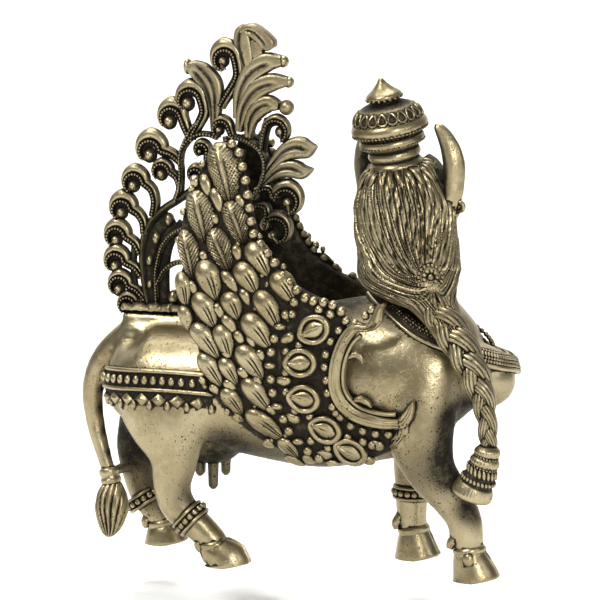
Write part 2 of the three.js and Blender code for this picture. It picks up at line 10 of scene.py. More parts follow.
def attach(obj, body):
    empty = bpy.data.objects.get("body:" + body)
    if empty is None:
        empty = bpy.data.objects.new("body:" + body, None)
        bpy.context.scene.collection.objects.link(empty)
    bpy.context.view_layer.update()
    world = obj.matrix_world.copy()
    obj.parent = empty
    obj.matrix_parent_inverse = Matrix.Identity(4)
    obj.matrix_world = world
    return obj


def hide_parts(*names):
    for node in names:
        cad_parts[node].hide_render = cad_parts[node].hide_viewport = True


# A small winged cow in cast brass with a woman's head, wings of feathers and a pierced peacock tail.
# Shapes are given in millimetres: +X the way the cow walks, +Y her left, +Z up.
# DATUM brings them to the frame.
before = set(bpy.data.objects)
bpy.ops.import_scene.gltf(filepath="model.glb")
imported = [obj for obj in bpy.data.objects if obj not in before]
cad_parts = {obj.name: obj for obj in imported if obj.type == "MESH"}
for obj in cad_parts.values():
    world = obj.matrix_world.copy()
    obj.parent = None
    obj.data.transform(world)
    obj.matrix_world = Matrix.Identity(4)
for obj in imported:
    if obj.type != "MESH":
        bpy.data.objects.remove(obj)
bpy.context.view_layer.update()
MM = 0.001
DATUM = np.array([1.1781, 0.0990, 0.0])
UP = np.array([0.0, 0.0, 1.0])
TURN = 2 * math.pi


# Lines and closed bodies
def smooth(rows, share):
    """Points at shares 0 to 1 of the way along a smooth line through the rows."""
    rows = np.asarray(rows, float)
    share = np.clip(share, 0, 1) * (len(rows) - 1)
    i = np.minimum(share.astype(int), len(rows) - 2)
    w = (share - i)[:, None]
    ends = np.vstack([2 * rows[0] - rows[1], rows, 2 * rows[-1] - rows[-2]])
    a, b, c, d = (ends[i + k] for k in range(4))
    lengths = (np.linalg.norm(step, axis=1, keepdims=True) for step in (b - a, c - b, d - c))
    before, here, after = (np.sqrt(length) for length in lengths)
    here = np.where(here < 0.01, 1.0, here)
    before = np.where(before < 0.01, here, before)
    after = np.where(after < 0.01, here, after)
    out = ((b - a) / before - (c - a) / (before + here) + (c - b) / here) * here
    back = ((c - b) / here - (d - b) / (here + after) + (d - c) / after) * here
    return b + out * w + (3 * (c - b) - 2 * out - back) * w**2 + (2 * (b - c) + out + back) * w**3


def laps(number):
    """Turns spaced evenly over a full circle."""
    return np.linspace(0, TURN, number, endpoint=False)


def unit(v):
    return v / np.maximum(np.linalg.norm(v, axis=-1, keepdims=True), 1e-9)


def wrapped(rings):
    """A closed body from rings of points, each ring going round once."""
    n, m = rings.shape[:2]
    index = np.arange(n * m).reshape(n, m)
    low, high = index[:-1], index[1:]
    quads = np.stack([low, np.roll(low, -1, 1), np.roll(high, -1, 1), high], -1).reshape(-1, 4)
    return rings.reshape(-1, 3), quads.tolist() + [index[0][::-1].tolist(), index[-1].tolist()]


def tube(rows, sides=16, steps=4, across=(0, 1, 0), swell=None):
    """A body along a smooth line, from rows of x, y, z and one or two radii. swell(turn, share) scales it."""
    rows = np.array([[*row[:4], row[4] if len(row) > 4 else row[3]] for row in rows], float)
    share = np.linspace(0, 1, steps * (len(rows) - 1) + 1)
    centre = smooth(rows[:, :3], share)
    wide, high = smooth(np.c_[rows[:, 3:], 0 * rows[:, 3]], share)[:, :2].T[..., None]
    tangent = unit(np.gradient(centre, axis=0))
    across = np.array(across, float)
    side = unit(across - tangent * (tangent @ across)[:, None])
    upright = np.cross(tangent, side)
    turn = laps(sides)
    grow = np.ones((len(share), sides))
    if swell:
        grow = grow * swell(turn[None], share[:, None])
    over, above = grow * np.cos(turn) * wide, grow * np.sin(turn) * high
    return wrapped(centre[:, None] + side[:, None] * over[..., None] + upright[:, None] * above[..., None])


def ball(centre, radius, sides=9, rings=6):
    """A bead or egg. radius is one number or three."""
    height = np.linspace(-1, 1, rings + 1)
    lift, reach = np.sin(height * math.pi / 2), np.cos(height * math.pi / 2)
    reach[[0, -1]] = 0.08
    turn = laps(sides)
    places = [reach[:, None] * np.cos(turn), reach[:, None] * np.sin(turn), lift[:, None] + 0 * turn]
    return wrapped(np.asarray(centre) + np.stack(places, -1) * np.asarray(radius, float))


def turned(profile, sides, place, ripple):
    """A body turned from rows of radius and height. ripple(turn, height) adds to the radius."""
    profile = np.array(profile, float)
    turn = laps(sides)
    radius = profile[:, :1] + ripple(turn[None], profile[:, 1:])
    rings = [radius * np.cos(turn), radius * np.sin(turn), profile[:, 1:] + 0 * turn]
    return wrapped(place(np.stack(rings, -1)))


def hoop(rings):
    """A closed ring: each ring of points is joined to the next, and the last to the first."""
    n, m = rings.shape[:2]
    index = np.arange(n * m).reshape(n, m)
    ahead = np.roll(index, -1, 0)
    quads = np.stack([index, np.roll(index, -1, 1), np.roll(ahead, -1, 1), ahead], -1).reshape(-1, 4)
    return rings.reshape(-1, 3), quads.tolist()


def round_bar(line, out, axis, radius, sides):
    """A round bar along a closed line. out and axis are both square to the line."""
    bends = laps(sides)[:, None]
    section = np.cos(bends) * out[:, None] + np.sin(bends) * np.atleast_2d(axis)[:, None]
    return hoop(line[:, None] + radius * section)


def placed(shape, place):
    return place(shape[0]), shape[1]


def pad(top, base):
    """A raised patch: a net of points, closed by a skirt down to the base's border and a floor."""
    n, m = top.shape[:2]
    index = np.arange(n * m).reshape(n, m)
    a, b, c, d = index[:-1, :-1], index[:-1, 1:], index[1:, 1:], index[1:, :-1]
    quads = np.stack([a, b, c, d], -1).reshape(-1, 4).tolist()
    rim = np.concatenate([index[0], index[1:, -1], index[-1, -2::-1], index[-2:0:-1, 0]])
    foot = np.arange(len(rim)) + n * m
    skirt = np.stack([rim, foot, np.roll(foot, -1), np.roll(rim, -1)], -1).tolist()
    return np.vstack([top.reshape(-1, 3), base.reshape(-1, 3)[rim]]), quads + skirt + [foot[::-1].tolist()]


def with_rim(values):
    """A value for each point of a pad: the net's own, then its border again for the foot of the skirt."""
    return np.concatenate([values.ravel(), values[0], values[1:, -1], values[-1, -2::-1], values[-2:0:-1, 0]])


def dip(value, centre, width):
    """1 at the centre, falling to nothing a little over a width away."""
    return np.exp(-(((value - centre) / width) ** 2))


class Casting:
    """The closed shapes of one casting, with the black left on each, which in some places is painted shade.
    Below zero it is brown instead.
    """

    def __init__(self):
        self.points, self.faces, self.black, self.count = [], [], [], 0

    def add(self, shape, black=0.0):
        points, faces = shape
        self.points.append(points)
        self.faces += [[v + self.count for v in face] for face in faces]
        self.black.append(np.broadcast_to(np.asarray(black, float), len(points)))
        self.count += len(points)

    def join(self, other):
        self.points += other.points
        self.faces += [[v + self.count for v in face] for face in other.faces]
        self.black += other.black
        self.count += other.count

    def pair(self, shape, black=0.0):
        """The shape and its mirror image on the cow's left."""
        self.add(shape, black)
        self.add((shape[0] * [1, -1, 1], [face[::-1] for face in shape[1]]), black)


def bead_ring(cow, place, number, size, black=0.0, sides=8, rings=6, first=0.0):
    """Beads in a circle. place(turn) is the middle of each."""
    for i in range(number):
        cow.add(ball(place(TURN * (i + first) / number), size, sides, rings), black)


# The body: one skin over trunk, legs, neck, breast, tail and udder
trunk = [
    [-53.2, 54.8, 4, 3], [-51.8, 54.4, 9.2, 6.8], [-48.8, 52.4, 13.6, 10.6], [-44.8, 50.6, 16.4, 14.4],
    [-37, 49.6, 17.8, 16], [-26, 48.9, 17.6, 16.5], [-12, 48, 17.6, 19.2], [6, 49.2, 18, 22.6],
    [22, 52.2, 18.3, 22.6], [34, 54.6, 18, 19.2], [44, 55, 15.6, 14.4], [51, 55, 9, 8.4],
]
near_hind = [
    [-35.4, -8, 52, 9, 14.6], [-34.8, -10.4, 43.6, 8.4, 14], [-33.4, -12, 36, 6.8, 11],
    [-32.4, -12.3, 28.6, 5.3, 6.8], [-33, -12.2, 21, 4.5, 5.2], [-31.4, -12, 16, 4.3, 5],
    [-25.6, -12, 10.6, 4, 4.4],
]
far_hind = [
    [-42, 8, 52, 9, 12.5], [-44, 10.5, 43, 8, 11], [-48.2, 12, 34, 6.1, 8.6], [-50.8, 12.3, 27, 5, 6.6],
    [-50.6, 12.2, 20, 4.4, 5.0], [-48.8, 12, 14, 4.2, 4.5], [-45.8, 12, 9.6, 4, 4.3],
]
near_fore = [
    [35.5, -8.5, 56, 9, 13.6], [36.2, -11, 47, 7.8, 11.2], [37.4, -12.4, 37.5, 6.7, 9.2],
    [40.4, -12.1, 29, 5.7, 6.9], [45.8, -12, 22.2, 4.9, 5.6], [49.6, -12, 16, 4.4, 4.8],
]
far_fore = [
    [34, 8.5, 56, 9, 14], [33, 11, 47, 7.8, 12], [31.4, 12.4, 38.5, 6.8, 9.4], [29.6, 12.2, 28, 5.4, 6.4],
    [28.8, 12, 20, 4.6, 4.9], [28.7, 12, 14, 4.2, 4.4],
]
# Each leg: its line, its place across, its hoof's toe and heel, the coronet's place and height,
# and the line of its spurs from root to point.
LEGS = [
    (near_hind, -12, -10.4, -23.6, (-21, 6.2), [(-24.0, 7.4), (-24.8, 5.6), (-24.0, 4.0)]),
    (far_hind, 12, -36.2, -49, (-43.8, 6.2), [(-46.8, 8.0), (-48.1, 6.2), (-47.6, 4.6)]),
    (near_fore, -12, 59.4, 46.2, (50.8, 8.6), [(47.8, 12.2), (46.4, 10.2), (45.8, 8.8)]),
    (far_fore, 12, 37.2, 24, (29.3, 8.4), [(26.2, 12.0), (24.9, 9.8), (25.1, 8.2)]),
]
# Each anklet: its line from above to below, and its radius.
ANKLETS = [
    ((-28.9, -12, 13.7), (-26.6, -12, 11.6), 4.85),
    ((-50.2, 12, 13.6), (-48.6, 12, 11.2), 4.95),
    ((28.8, 12, 20.1), (28.7, 12, 17.2), 4.95),
]
# The lumps behind the near knee: place along and up, and half sizes.
KNEE = [
    ((41.6, -12, 24.2), (2.6, 3.9, 2.1)), ((45.6, -12, 19.0), (2.9, 3.6, 2.2)),
    ((47.6, -12, 12.8), (2.5, 3.6, 3.2)),
]
# Each teat: its place and lower end, and its radius.
TEATS = [
    ((-24.0, -3.2), 19.4, 1.35), ((-22.4, 3.4), 22.2, 1.3), ((-28.0, -2.8), 22.8, 1.2),
    ((-29.6, 3.6), 21.8, 1.2),
]
tail_line = [
    [-40, 0, 60.5, 6, 4.5], [-47, 0, 62.4, 5, 4], [-53, 0, 58.8, 4.1, 3.4], [-57.8, 0, 52.8, 3.6, 3.3],
    [-60, 0, 46, 3.3, 3.1], [-59.9, 0, 39, 2.9, 2.8], [-58.4, -0.4, 32, 2.6, 2.5], [-56, -1.2, 25, 2.2, 2.1],
    [-54.8, -1.8, 21, 2, 2],
]
neck_line = [
    [39.5, 0, 52, 13, 13], [37.6, 0, 61, 13.8, 13.6], [35.4, 0, 67.4, 12, 11.6], [33.2, 0, 74, 8.8, 8.6],
    [32.4, 0, 81, 6.8, 7], [31.6, -0.5, 90, 6.6, 6.8],
]


def tilted_ball(centre, half, pitch=0.0, yaw=0.0, sides=32, rings=20):
    points, faces = ball((0, 0, 0), half, sides, rings)
    c, s = math.cos(pitch), math.sin(pitch)
    points = points @ np.array([[c, 0, s], [0, 1, 0], [-s, 0, c]]).T
    c, s = math.cos(yaw), math.sin(yaw)
    return points @ np.array([[c, -s, 0], [s, c, 0], [0, 0, 1]]).T + np.asarray(centre), faces


def block(low, high):
    x, y, z = ([low[i], high[i]] for i in range(3))
    rings = np.array([[[x[0], y[0], h], [x[1], y[0], h], [x[1], y[1], h], [x[0], y[1], h]] for h in z], float)
    return wrapped(rings)


# Lumps that the skin takes in, with their middles, half sizes, pitch and yaw: the near breast, the far
# breast, the floor inside the bodice, the udder and the shoulders.
LUMPS = [
    ((50.2, -3.4, 54.6), (11.2, 8.6, 9), 0.25, 0), ((46.8, 8.6, 53.2), (10.6, 8.6, 7.8), 0.2, 0.5),
    ((47, 0, 56), (10.5, 11, 5), 0, 0), ((-25.4, 0, 31.4), (8.6, 8.5, 5.4), 0, 0),
    ((33, 0, 68), (10, 11, 8), 0.4, 0),
]
# The strut from the tail's knot to the far hind leg, and the low ridge on the back under the fan.
TAIL_STRUT = [[-56, -0.5, 22.4, 1.7], [-54, 4, 22, 1.7], [-52, 9, 23, 2.2]]
RIDGE = ((-50.4, -3.5, 56), (-13.2, 3.5, 67.8))
SKIN_GRID = 0.95
# The skin is eased in rounds: two pulls in and one out, so that it softens and keeps its size.
EASING_ROUNDS = 10
PULLS = (0.5, 0.5, -0.42)


def raw_body():
    """Trunk, legs, tail, neck and breasts as closed shapes that overlap."""
    raw = Casting()
    raw.add(tube([[x, 0, z, wide, deep] for x, z, wide, deep in trunk], 48, 6))
    for line, y, toe, heel, (x, z), spurs in LEGS:
        raw.add(tube([*line, [x, y, z, 3.9, 3.9], [x + 0.4, y, 0.7 * z, 3.6, 3.8]], 24, 6))
    for centre, half in KNEE:
        raw.add(tilted_ball(centre, half))
    raw.add(tube(tail_line, 20, 6))
    raw.add(tube(TAIL_STRUT, 12, 3, across=(0, 0, 1)))
    raw.add(tube(neck_line, 32, 5))
    for lump in LUMPS:
        raw.add(tilted_ball(*lump))
    raw.add(block(*RIDGE))
    return raw


def values_of(items, name, kind, size):
    """One property of a mesh's items, as an array with a row for each."""
    values = np.empty(len(items) * size, kind)
    items.foreach_get(name, values)
    return values.reshape(-1, size)


def remeshed(raw, grid):
    """One skin over shapes that overlap: its points, edges and faces."""
    mesh = bpy.data.meshes.new("raw_skin")
    mesh.from_pydata(np.vstack(raw.points).tolist(), [], raw.faces)
    carrier = bpy.data.objects.new("raw_skin", mesh)
    bpy.context.scene.collection.objects.link(carrier)
    remesh = carrier.modifiers.new("remesh", "REMESH")
    remesh.mode, remesh.voxel_size = "VOXEL", grid
    made = carrier.evaluated_get(bpy.context.evaluated_depsgraph_get()).to_mesh()
    points = values_of(made.vertices, "co", float, 3)
    edges = values_of(made.edges, "vertices", int, 2)
    faces = [list(p.vertices) for p in made.polygons]
    carrier.to_mesh_clear()
    bpy.data.objects.remove(carrier)
    bpy.data.meshes.remove(mesh)
    return points, edges, faces


def eased(points, edges):
    """The points after each was drawn to and fro along its edges."""
    for step in range(EASING_ROUNDS):
        total, number = np.zeros_like(points), np.zeros(len(points))
        for here, there in (edges.T, edges.T[::-1]):
            for k in range(3):
                total[:, k] += np.bincount(here, points[there, k], len(points))
            number += np.bincount(here, minlength=len(points))
        points = points + PULLS[step % len(PULLS)] * (total / number[:, None] - points)
    return points


def body_skin():
    """Trunk, legs, neck and breast run into one skin with soft hollows where they meet."""
    points, edges, faces = remeshed(raw_body(), SKIN_GRID)
    return eased(points, edges), faces


def hoof(y, toe, heel, coronet):
    """A flared hoof, cleft in front and a little behind, with the rim of the coronet above it."""
    x, z = coronet
    middle, half = (toe + heel) / 2, (toe - heel) / 2
    rows = [
        [x - 0.1, y, z + 1.0, 3.5, 3.6], [x, y, z + 0.4, 4.2, 4.3], [x + 0.1, y, z - 0.3, 4.4, 4.5],
        [x + 0.2, y, z - 0.9, 4.2, 4.4], [x + 0.4, y, z * 0.72, 4.6, 4.9],
        [middle - 0.3, y, 1.6, 5.2, half * 0.95], [middle - 0.1, y, 0.5, 5.35, half],
        [middle, y, 0.0, 5.2, half * 0.98],
    ]

    def cleft(turn, share):
        deep = np.clip((share - 0.3) * 4, 0, 1)
        return 1 - deep * (0.2 * dip(turn, math.pi / 2, 0.1) + 0.07 * dip(turn, 1.5 * math.pi, 0.16))

    points, faces = tube(rows, 44, 2, swell=cleft)
    points[:, 2] = np.maximum(points[:, 2], 0)
    return points, faces


ANKLET_BEADS = 17


def anklet(cow, top, bottom, radius):
    """A band of beads between two rims round a pastern."""
    top, bottom = np.array(top, float), np.array(bottom, float)
    axis = unit(bottom - top)
    side = np.array([0.0, 1.0, 0.0])
    front = np.cross(axis, side)

    def out(turn):
        return np.cos(turn)[..., None] * side + np.sin(turn)[..., None] * front

    for end in (top, bottom):
        cow.add(round_bar(end + radius * out(laps(48)), out(laps(48)), axis, 0.5, 8))
    cow.add(tube([[*(top + (bottom - top) * s), radius - 0.15] for s in (0, 0.5, 1)], 24, 1), black=1.0)
    middle, reach = (top + bottom) / 2, radius + 0.05
    bead_ring(cow, lambda turn: middle + reach * out(turn), ANKLET_BEADS, 0.92, 0, 10, 7, 0.5)


SPUR_RADII = (1.7, 1.5, 0.9)
HEEL_BOSS = ((51.6, -16.3, 6.4), (1.5, 1.0, 1.9))


def dress_legs(cow):
    """Hooves, spurs, anklets, the boss on the near fore hoof and the teats."""
    for line, y, toe, heel, coronet, spurs in LEGS:
        cow.add(hoof(y, toe, heel, coronet))
        for s in (-1, 1):
            rows = [[x, y + (1.5 + 0.3 * i) * s, z, SPUR_RADII[i]] for i, (x, z) in enumerate(spurs)]
            cow.add(tube(rows, 12, 4))
    for top, bottom, radius in ANKLETS:
        anklet(cow, top, bottom, radius)
    cow.add(tilted_ball(*HEEL_BOSS, -0.1, 0, 20, 12))
    # The teats are painted half black: painted shade under the belly.
    for (x, y), low, r in TEATS:
        heights = ((30, 1.5), (26.5, 1.15), (low + 3, 1.05), (low + 1, 1), (low, 0.4))
        cow.add(tube([[x, y, z, r * wide] for z, wide in heights], 16, 4), black=0.55)


KNOT = [
    [-55.2, -1.5, 23.4, 2.0], [-55.1, -1.6, 22.9, 2.75], [-54.9, -1.7, 22.2, 2.85], [-54.6, -1.8, 21.2, 2.6],
    [-54.4, -1.8, 20.2, 2.9], [-54.2, -1.9, 19.5, 2.8], [-54.1, -1.9, 19.0, 2.1],
]
TUFT = [
    [-54.2, -2, 20, 1.9], [-54.0, -2, 18.4, 3.1], [-54.0, -2, 15.8, 4.2], [-54.1, -2, 12.4, 4.6],
    [-54.4, -2, 9, 4.0], [-54.9, -2, 6.2, 2.8], [-55.3, -2, 4.5, 1.5], [-55.5, -2, 3.8, 0.3],
]
TUFT_LOCKS = 14
TUFT_FLOOR = 0.74


def tail_tassel(cow):
    """The bound knot at the end of the tail, and the tuft of long locks below it."""
    cow.add(tube(KNOT, 32, 4))

    def lock(turn, share):
        run = TUFT_LOCKS / 2 * (turn + 0.4 * np.sin(4.2 * share + turn))
        fine = np.abs(np.cos(2.0 * run + 0.6 * np.sin(5 * share)))
        return TUFT_FLOOR + 0.25 * np.abs(np.cos(run)) ** 0.6 + 0.05 * fine

    sides, steps = 132, 7
    share = np.linspace(0, 1, steps * (len(TUFT) - 1) + 1)
    groove = np.clip(1 - (lock(laps(sides)[None], share[:, None]) - TUFT_FLOOR) / 0.18, 0, 1)
    cow.add(tube(TUFT, sides, steps, swell=lock), groove.ravel())


# The band round the rump
# The middle that the band turns round, how far its ends dip, its first and last turn, and the stretch of
# skin that it may lie on.
RUMP = {
    "centre": -36.0, "dip": 1.2, "first": 0.26 * math.pi, "last": 1.74 * math.pi,
    "tail": -53.6, "flank": -12.0,
}
# The band's ground runs from one height to the other, and its black fades out at the foot. Each rail has
# its height and radius.
BAND_GROUND = (53.4, 44.6)
BAND_BLACK = (1, 1, 1, 1, 1, 1, 0.9, 0.4)
RAILS = ((53.9, 0.7), (48.9, 0.62))
BAND_BEADS = 33
BAND_STUDS = 17


def rump_band(cow, skin):
    """Two rails, a row of beads between them, and a row of studs below. All of it lies on the skin."""
    points, faces = skin
    round_rump = [face for face in faces if RUMP["tail"] < points[face[0]][0] < RUMP["flank"]]
    tree = BVHTree.FromPolygons(points.tolist(), round_rump)
    start_reach = 45
    behind = start_reach + RUMP["tail"] - RUMP["centre"]

    def lying(share, height, out):
        """A turn round the rump and the point of the skin there, raised by out."""
        turn = RUMP["first"] + (RUMP["last"] - RUMP["first"]) * share
        way = np.array([math.cos(turn), math.sin(turn), 0])
        start = np.array([RUMP["centre"], 0, height - RUMP["dip"] * math.cos(turn) ** 2]) + start_reach * way
        distance = tree.ray_cast(start.tolist(), (-way).tolist(), start_reach)[3] or behind
        return turn, start - way * (distance - out)

    spans = 96
    shares = np.linspace(0, 1, spans + 1)
    heights = np.linspace(*BAND_GROUND, len(BAND_BLACK))
    black = np.repeat([BAND_BLACK], spans + 1, 0)
    top = np.array([[lying(s, z, 0.16)[1] for z in heights] for s in shares])
    base = np.array([[lying(s, z, -0.8)[1] for z in heights] for s in shares])
    cow.add(pad(top, base), with_rim(black))
    for height, radius in RAILS:
        cow.add(tube([[*lying(s, height, 0.3)[1], radius] for s in shares], 10, 1, across=(0, 0, 1)))
    for i in range(BAND_BEADS):
        cow.add(ball(lying((i + 0.5) / BAND_BEADS, 51.4, 0.45)[1], (1.0, 1.0, 1.25), 12, 8))
    for i in range(BAND_STUDS):
        turn, place = lying((i + 0.5) / BAND_STUDS, 46.2, 0.2)
        cow.add(diamond(place, turn, 2.45, 1.9, 1.25))
        turn, place = lying((i + 1) / BAND_STUDS * 0.999, 44.7, 0.3)
        cow.add(ball(place, (0.85, 0.85, 1.4), 12, 8))


def diamond(place, turn, wide, high, proud):
    """A four-sided stud with its point outwards."""
    out = np.array([math.cos(turn), math.sin(turn), 0])
    along = np.array([-math.sin(turn), math.cos(turn), 0])
    rings = []
    for reach, size in ((-1.0, 1.0), (0.05, 1.0), (0.3, 0.86), (0.9 * proud, 0.2), (proud, 0.04)):
        corners = [along * wide * size, UP * high * size, -along * wide * size, -UP * high * size]
        rings.append([place + out * reach + corner for corner in corners])
    return wrapped(np.array(rings))


# The wings
# Each level up the wing: its height, back edge, front edge, and place outwards.
wing_levels = np.array([
    [28.8, 7, 14, 9.8], [31.5, 0, 23, 11.8], [36, -8, 32.6, 14.4], [40.5, -14, 34.6, 16.2],
    [45, -18.4, 29, 17.6], [50, -21.4, 19, 18.6], [56, -23.4, 15.4, 19.2], [64, -25.2, 16.6, 19.4],
    [71, -26.7, 19.6, 19.2], [75.4, -27.4, 13, 18.9], [79, -28.2, 4.4, 18.5], [84, -29.2, -2.4, 17.9],
    [91, -30.2, -6, 16.8], [98, -29.6, -8.4, 15.7], [105, -27, -10.3, 14.6], [111, -24.4, -12.2, 13.5],
    [115.6, -22.4, -14.6, 12.6], [117, -21, -18, 12.3],
])
WING_HALF = 1.7
GROUND_BLACK = 1.6


def level(z, column):
    """A wing level's back edge, front edge or place outwards, eased between the rows."""
    rows = wing_levels
    return sum(np.interp(z + step, rows[:, 0], rows[:, column]) for step in (-1.2, 0, 1.2)) / 3


def on_wing(x, z, out=0.0):
    """A point of the near wing's outer face, raised by out."""
    x, z = np.asarray(x, float), np.asarray(z, float)
    return np.stack([x, -(level(z, 3) + WING_HALF + out) + 0 * x, z + 0 * x], -1)


def wing_slab():
    heights = np.linspace(wing_levels[0, 0] + 1.5, wing_levels[-1, 0] - 0.5, 50)
    share = (1 - np.cos(np.linspace(0, math.pi, 26))) / 2
    half = WING_HALF * np.sqrt(np.clip(1 - np.abs(2 * share - 1) ** 14, 0.02, 1))
    rings = []
    for z in heights:
        back = level(z, 1) + 1.5
        x = back + (level(z, 2) - back) * share
        middle = level(z, 3)
        outer = np.stack([x, -(middle + half), z + 0 * x], -1)
        inner = np.stack([x, -(middle - half), z + 0 * x], -1)[-2:0:-1]
        rings.append(np.vstack([outer, inner]))
    return wrapped(np.array(rings))


FEATHER_SHIFT = np.array([-1.0, 0.0])
# The feathers' rows and columns of points, by kind.
FEATHER_NETS = ((11, 9), (26, 21), (72, 21))


def feather(tip, quill, wide, kind):
    """A feather, round at its tip, and its black. Kind 2 has barbs, 1 long slits, and 0 is small."""
    rows, columns = FEATHER_NETS[kind]
    tip, quill = np.array(tip, float), np.array(quill, float)
    quill = quill + (0.12 if kind else 0.24) * (quill - tip)
    wide = wide * (1.5, 1.26, 1.12)[kind]
    tip, quill = tip + FEATHER_SHIFT, quill + FEATHER_SHIFT
    length = np.linalg.norm(quill - tip)
    along = (quill - tip) / length
    across = np.array([-along[1], along[0]])
    u = (1 - np.cos(np.linspace(0, math.pi, rows))) / 2
    u = (0.4 * u + 0.6 * np.linspace(0, 1, rows))[:, None]
    v = np.linspace(-1, 1, columns)[None]
    round_end = np.sqrt(np.clip(1 - (1 - np.minimum(u / 0.36, 1)) ** 2, 0.004, 1))
    taper = np.clip((u - 0.36) / 0.64, 0, 1)
    narrow = np.clip(1 - taper**2.0, 0.03, 1) ** 0.8
    half = wide / 2 * round_end * narrow
    fullness = (0.8 + 0.25 * wide) * round_end**0.8 * (1 - 0.5 * taper) * np.clip(1.06 - taper**5, 0, 1)
    rise = fullness * np.clip(1 - np.abs(v) ** 2.3, 0, 1) ** 0.6
    shaft = np.clip((u - 0.14) * 6, 0, 1)
    lower = np.clip((u - 0.3) * 6, 0, 1) * np.clip((1.05 - u) * 10, 0, 1)
    black = 0 * rise
    if kind == 2:
        barbs = round(0.8 * length)
        cut = 0.5 + 0.5 * np.cos(TURN * barbs * (u + 0.62 * np.abs(v) * wide / length * (0.4 + 0.6 * shaft)))
        cut = cut**2 * np.clip((np.abs(v) - 0.12) * 7, 0, 1) * np.clip(u * 12, 0, 1)
        lines = shaft * (dip(v, -0.17, 0.07) + dip(v, 0.17, 0.07))
        rise = rise - 0.5 * cut * round_end + 0.25 * shaft * dip(v, 0, 0.1) - 0.35 * lines
        black = np.maximum(0.9 * cut, 0.95 * lines)
    elif kind == 1:
        slits = lower * (dip(v, 0.0, 0.07) + dip(v, 0.3, 0.07))
        hatch = 0.5 + 0.5 * np.cos(TURN * 0.95 * length * (u + 0.6 * np.abs(v - 0.15) * wide / length))
        hatch = hatch * np.clip((np.abs(v - 0.15) - 0.25) * 5, 0, 1) * np.clip((u - 0.3) * 4, 0, 1)
        rise = rise - 0.45 * slits - 0.12 * hatch
        black = np.maximum(1.0 * slits, 0.5 * hatch)
    else:
        rise = rise - 0.16 * dip(v, 0.1, 0.25) * shaft
    bow = 0.05 * wide * np.sin(math.pi * u)
    flat = tip + along * (u * length)[..., None] + across * (v * half + bow)[..., None]
    x, z = flat[..., 0], flat[..., 1]
    return pad(on_wing(x, z, rise - 0.1), on_wing(x, z, -0.7 + 0 * rise)), with_rim(black)


# Each feather: its round tip and its quill along and up the wing, its width, and its kind.
FEATHERS = [
    (-18.1, 116.7, -13.8, 101.6, 8.3, 2), (-23.9, 104.0, -20.2, 90.8, 7.4, 2),
    (-14.2, 101.5, -9.6, 90.6, 6.6, 2), (-26.4, 93.3, -23.2, 80.5, 5.7, 2),
    (-18.7, 94.0, -13.5, 83.1, 6.3, 2), (-8.0, 90.5, -2.4, 82.3, 5.3, 1),
    (-21.0, 85.5, -16.8, 75.3, 6.0, 1), (-10.9, 85.0, -5.6, 77.4, 5.4, 1),
    (-0.9, 82.7, 4.9, 75.4, 5.2, 1), (-26.8, 82.1, -25.0, 73.1, 4.1, 1),
    (-22.3, 76.7, -17.1, 67.6, 5.4, 1), (-14.0, 77.1, -10.4, 70.1, 4.9, 1),
    (-5.2, 77.8, 0.8, 68.3, 5.3, 1), (-26.2, 73.0, -24.3, 67.3, 3.0, 0),
    (-23.0, 68.3, -16.3, 59.4, 5.1, 1), (-15.9, 68.3, -12.8, 59.6, 4.9, 1),
    (-8.6, 71.3, -1.8, 62.8, 5.8, 1), (-21.2, 60.2, -15.4, 51.6, 4.6, 1),
    (-15.1, 59.2, -11.0, 52.2, 4.1, 1), (-10.3, 62.7, -3.9, 54.2, 5.5, 1),
    (-14.8, 50.8, -10.1, 43.8, 4.4, 1), (-8.9, 53.7, -2.3, 45.3, 5.1, 1), (-8.7, 44.6, 0.7, 37.2, 5.1, 1),
    (-0.2, 37.0, 4.1, 31.6, 3.8, 1), (-21.7, 108.4, -19.9, 102.8, 2.5, 0),
    (-18.7, 104.9, -16.4, 99.1, 2.7, 0), (-11.9, 103.1, -9.9, 99.6, 1.9, 0),
    (-24.1, 107.9, -24.0, 104.6, 2.1, 0), (-18.3, 97.7, -17.3, 95.2, 1.8, 0),
    (-11.9, 89.8, -10.6, 86.0, 2.2, 0), (-15.2, 82.8, -11.2, 77.7, 2.5, 0),
    (-9.6, 78.3, -7.6, 74.4, 2.2, 0), (-21.2, 87.8, -19.9, 85.0, 1.8, 0),
    (-24.0, 79.9, -22.5, 76.3, 1.9, 0), (-16.8, 74.1, -14.7, 70.1, 2.2, 0),
    (-14.6, 70.9, -11.2, 66.3, 2.5, 0), (-13.8, 81.7, -11.3, 78.5, 2.2, 0),
    (-11.1, 66.7, -9.1, 63.5, 2.2, 0), (-10.3, 56.7, -7.8, 53.9, 2.2, 0),
    (-14.3, 61.5, -12.8, 59.2, 1.9, 0), (-14.5, 52.9, -11.6, 50.5, 2.2, 0),
    (-4.6, 62.0, -3.5, 59.1, 1.9, 0), (-18.5, 51.4, -16.1, 49.4, 1.9, 0),
    (-12.6, 43.0, -10.0, 42.0, 2.0, 0), (-4.6, 36.2, -2.4, 34.6, 2.3, 0), (5.6, 31.9, 8.4, 30.4, 2.2, 0),
    (0.6, 31.8, 4.8, 29.4, 2.2, 0), (-20.9, 53.7, -20.2, 51.6, 1.6, 0), (-5.7, 54.7, -4.5, 51.6, 1.9, 0),
    (-24.6, 99.2, -23.4, 95.4, 2.2, 0), (-26.6, 88.0, -25.4, 84.0, 2.0, 0),
    (-12.4, 96.6, -11.4, 92.6, 2.0, 0), (-20.2, 72.2, -19.0, 68.4, 1.8, 0),
    (-7.4, 66.0, -6.0, 62.6, 1.8, 0), (-21.8, 99.6, -19.8, 96.4, 2.0, 0),
    (-16.4, 89.0, -15.0, 85.8, 2.0, 0), (-18.0, 63.6, -16.4, 60.6, 1.8, 0),
    (-17.2, 55.0, -15.4, 52.2, 1.8, 0), (-2.6, 46.4, -0.8, 44.2, 2.0, 0), (2.6, 73.0, 3.6, 70.2, 1.8, 0),
]
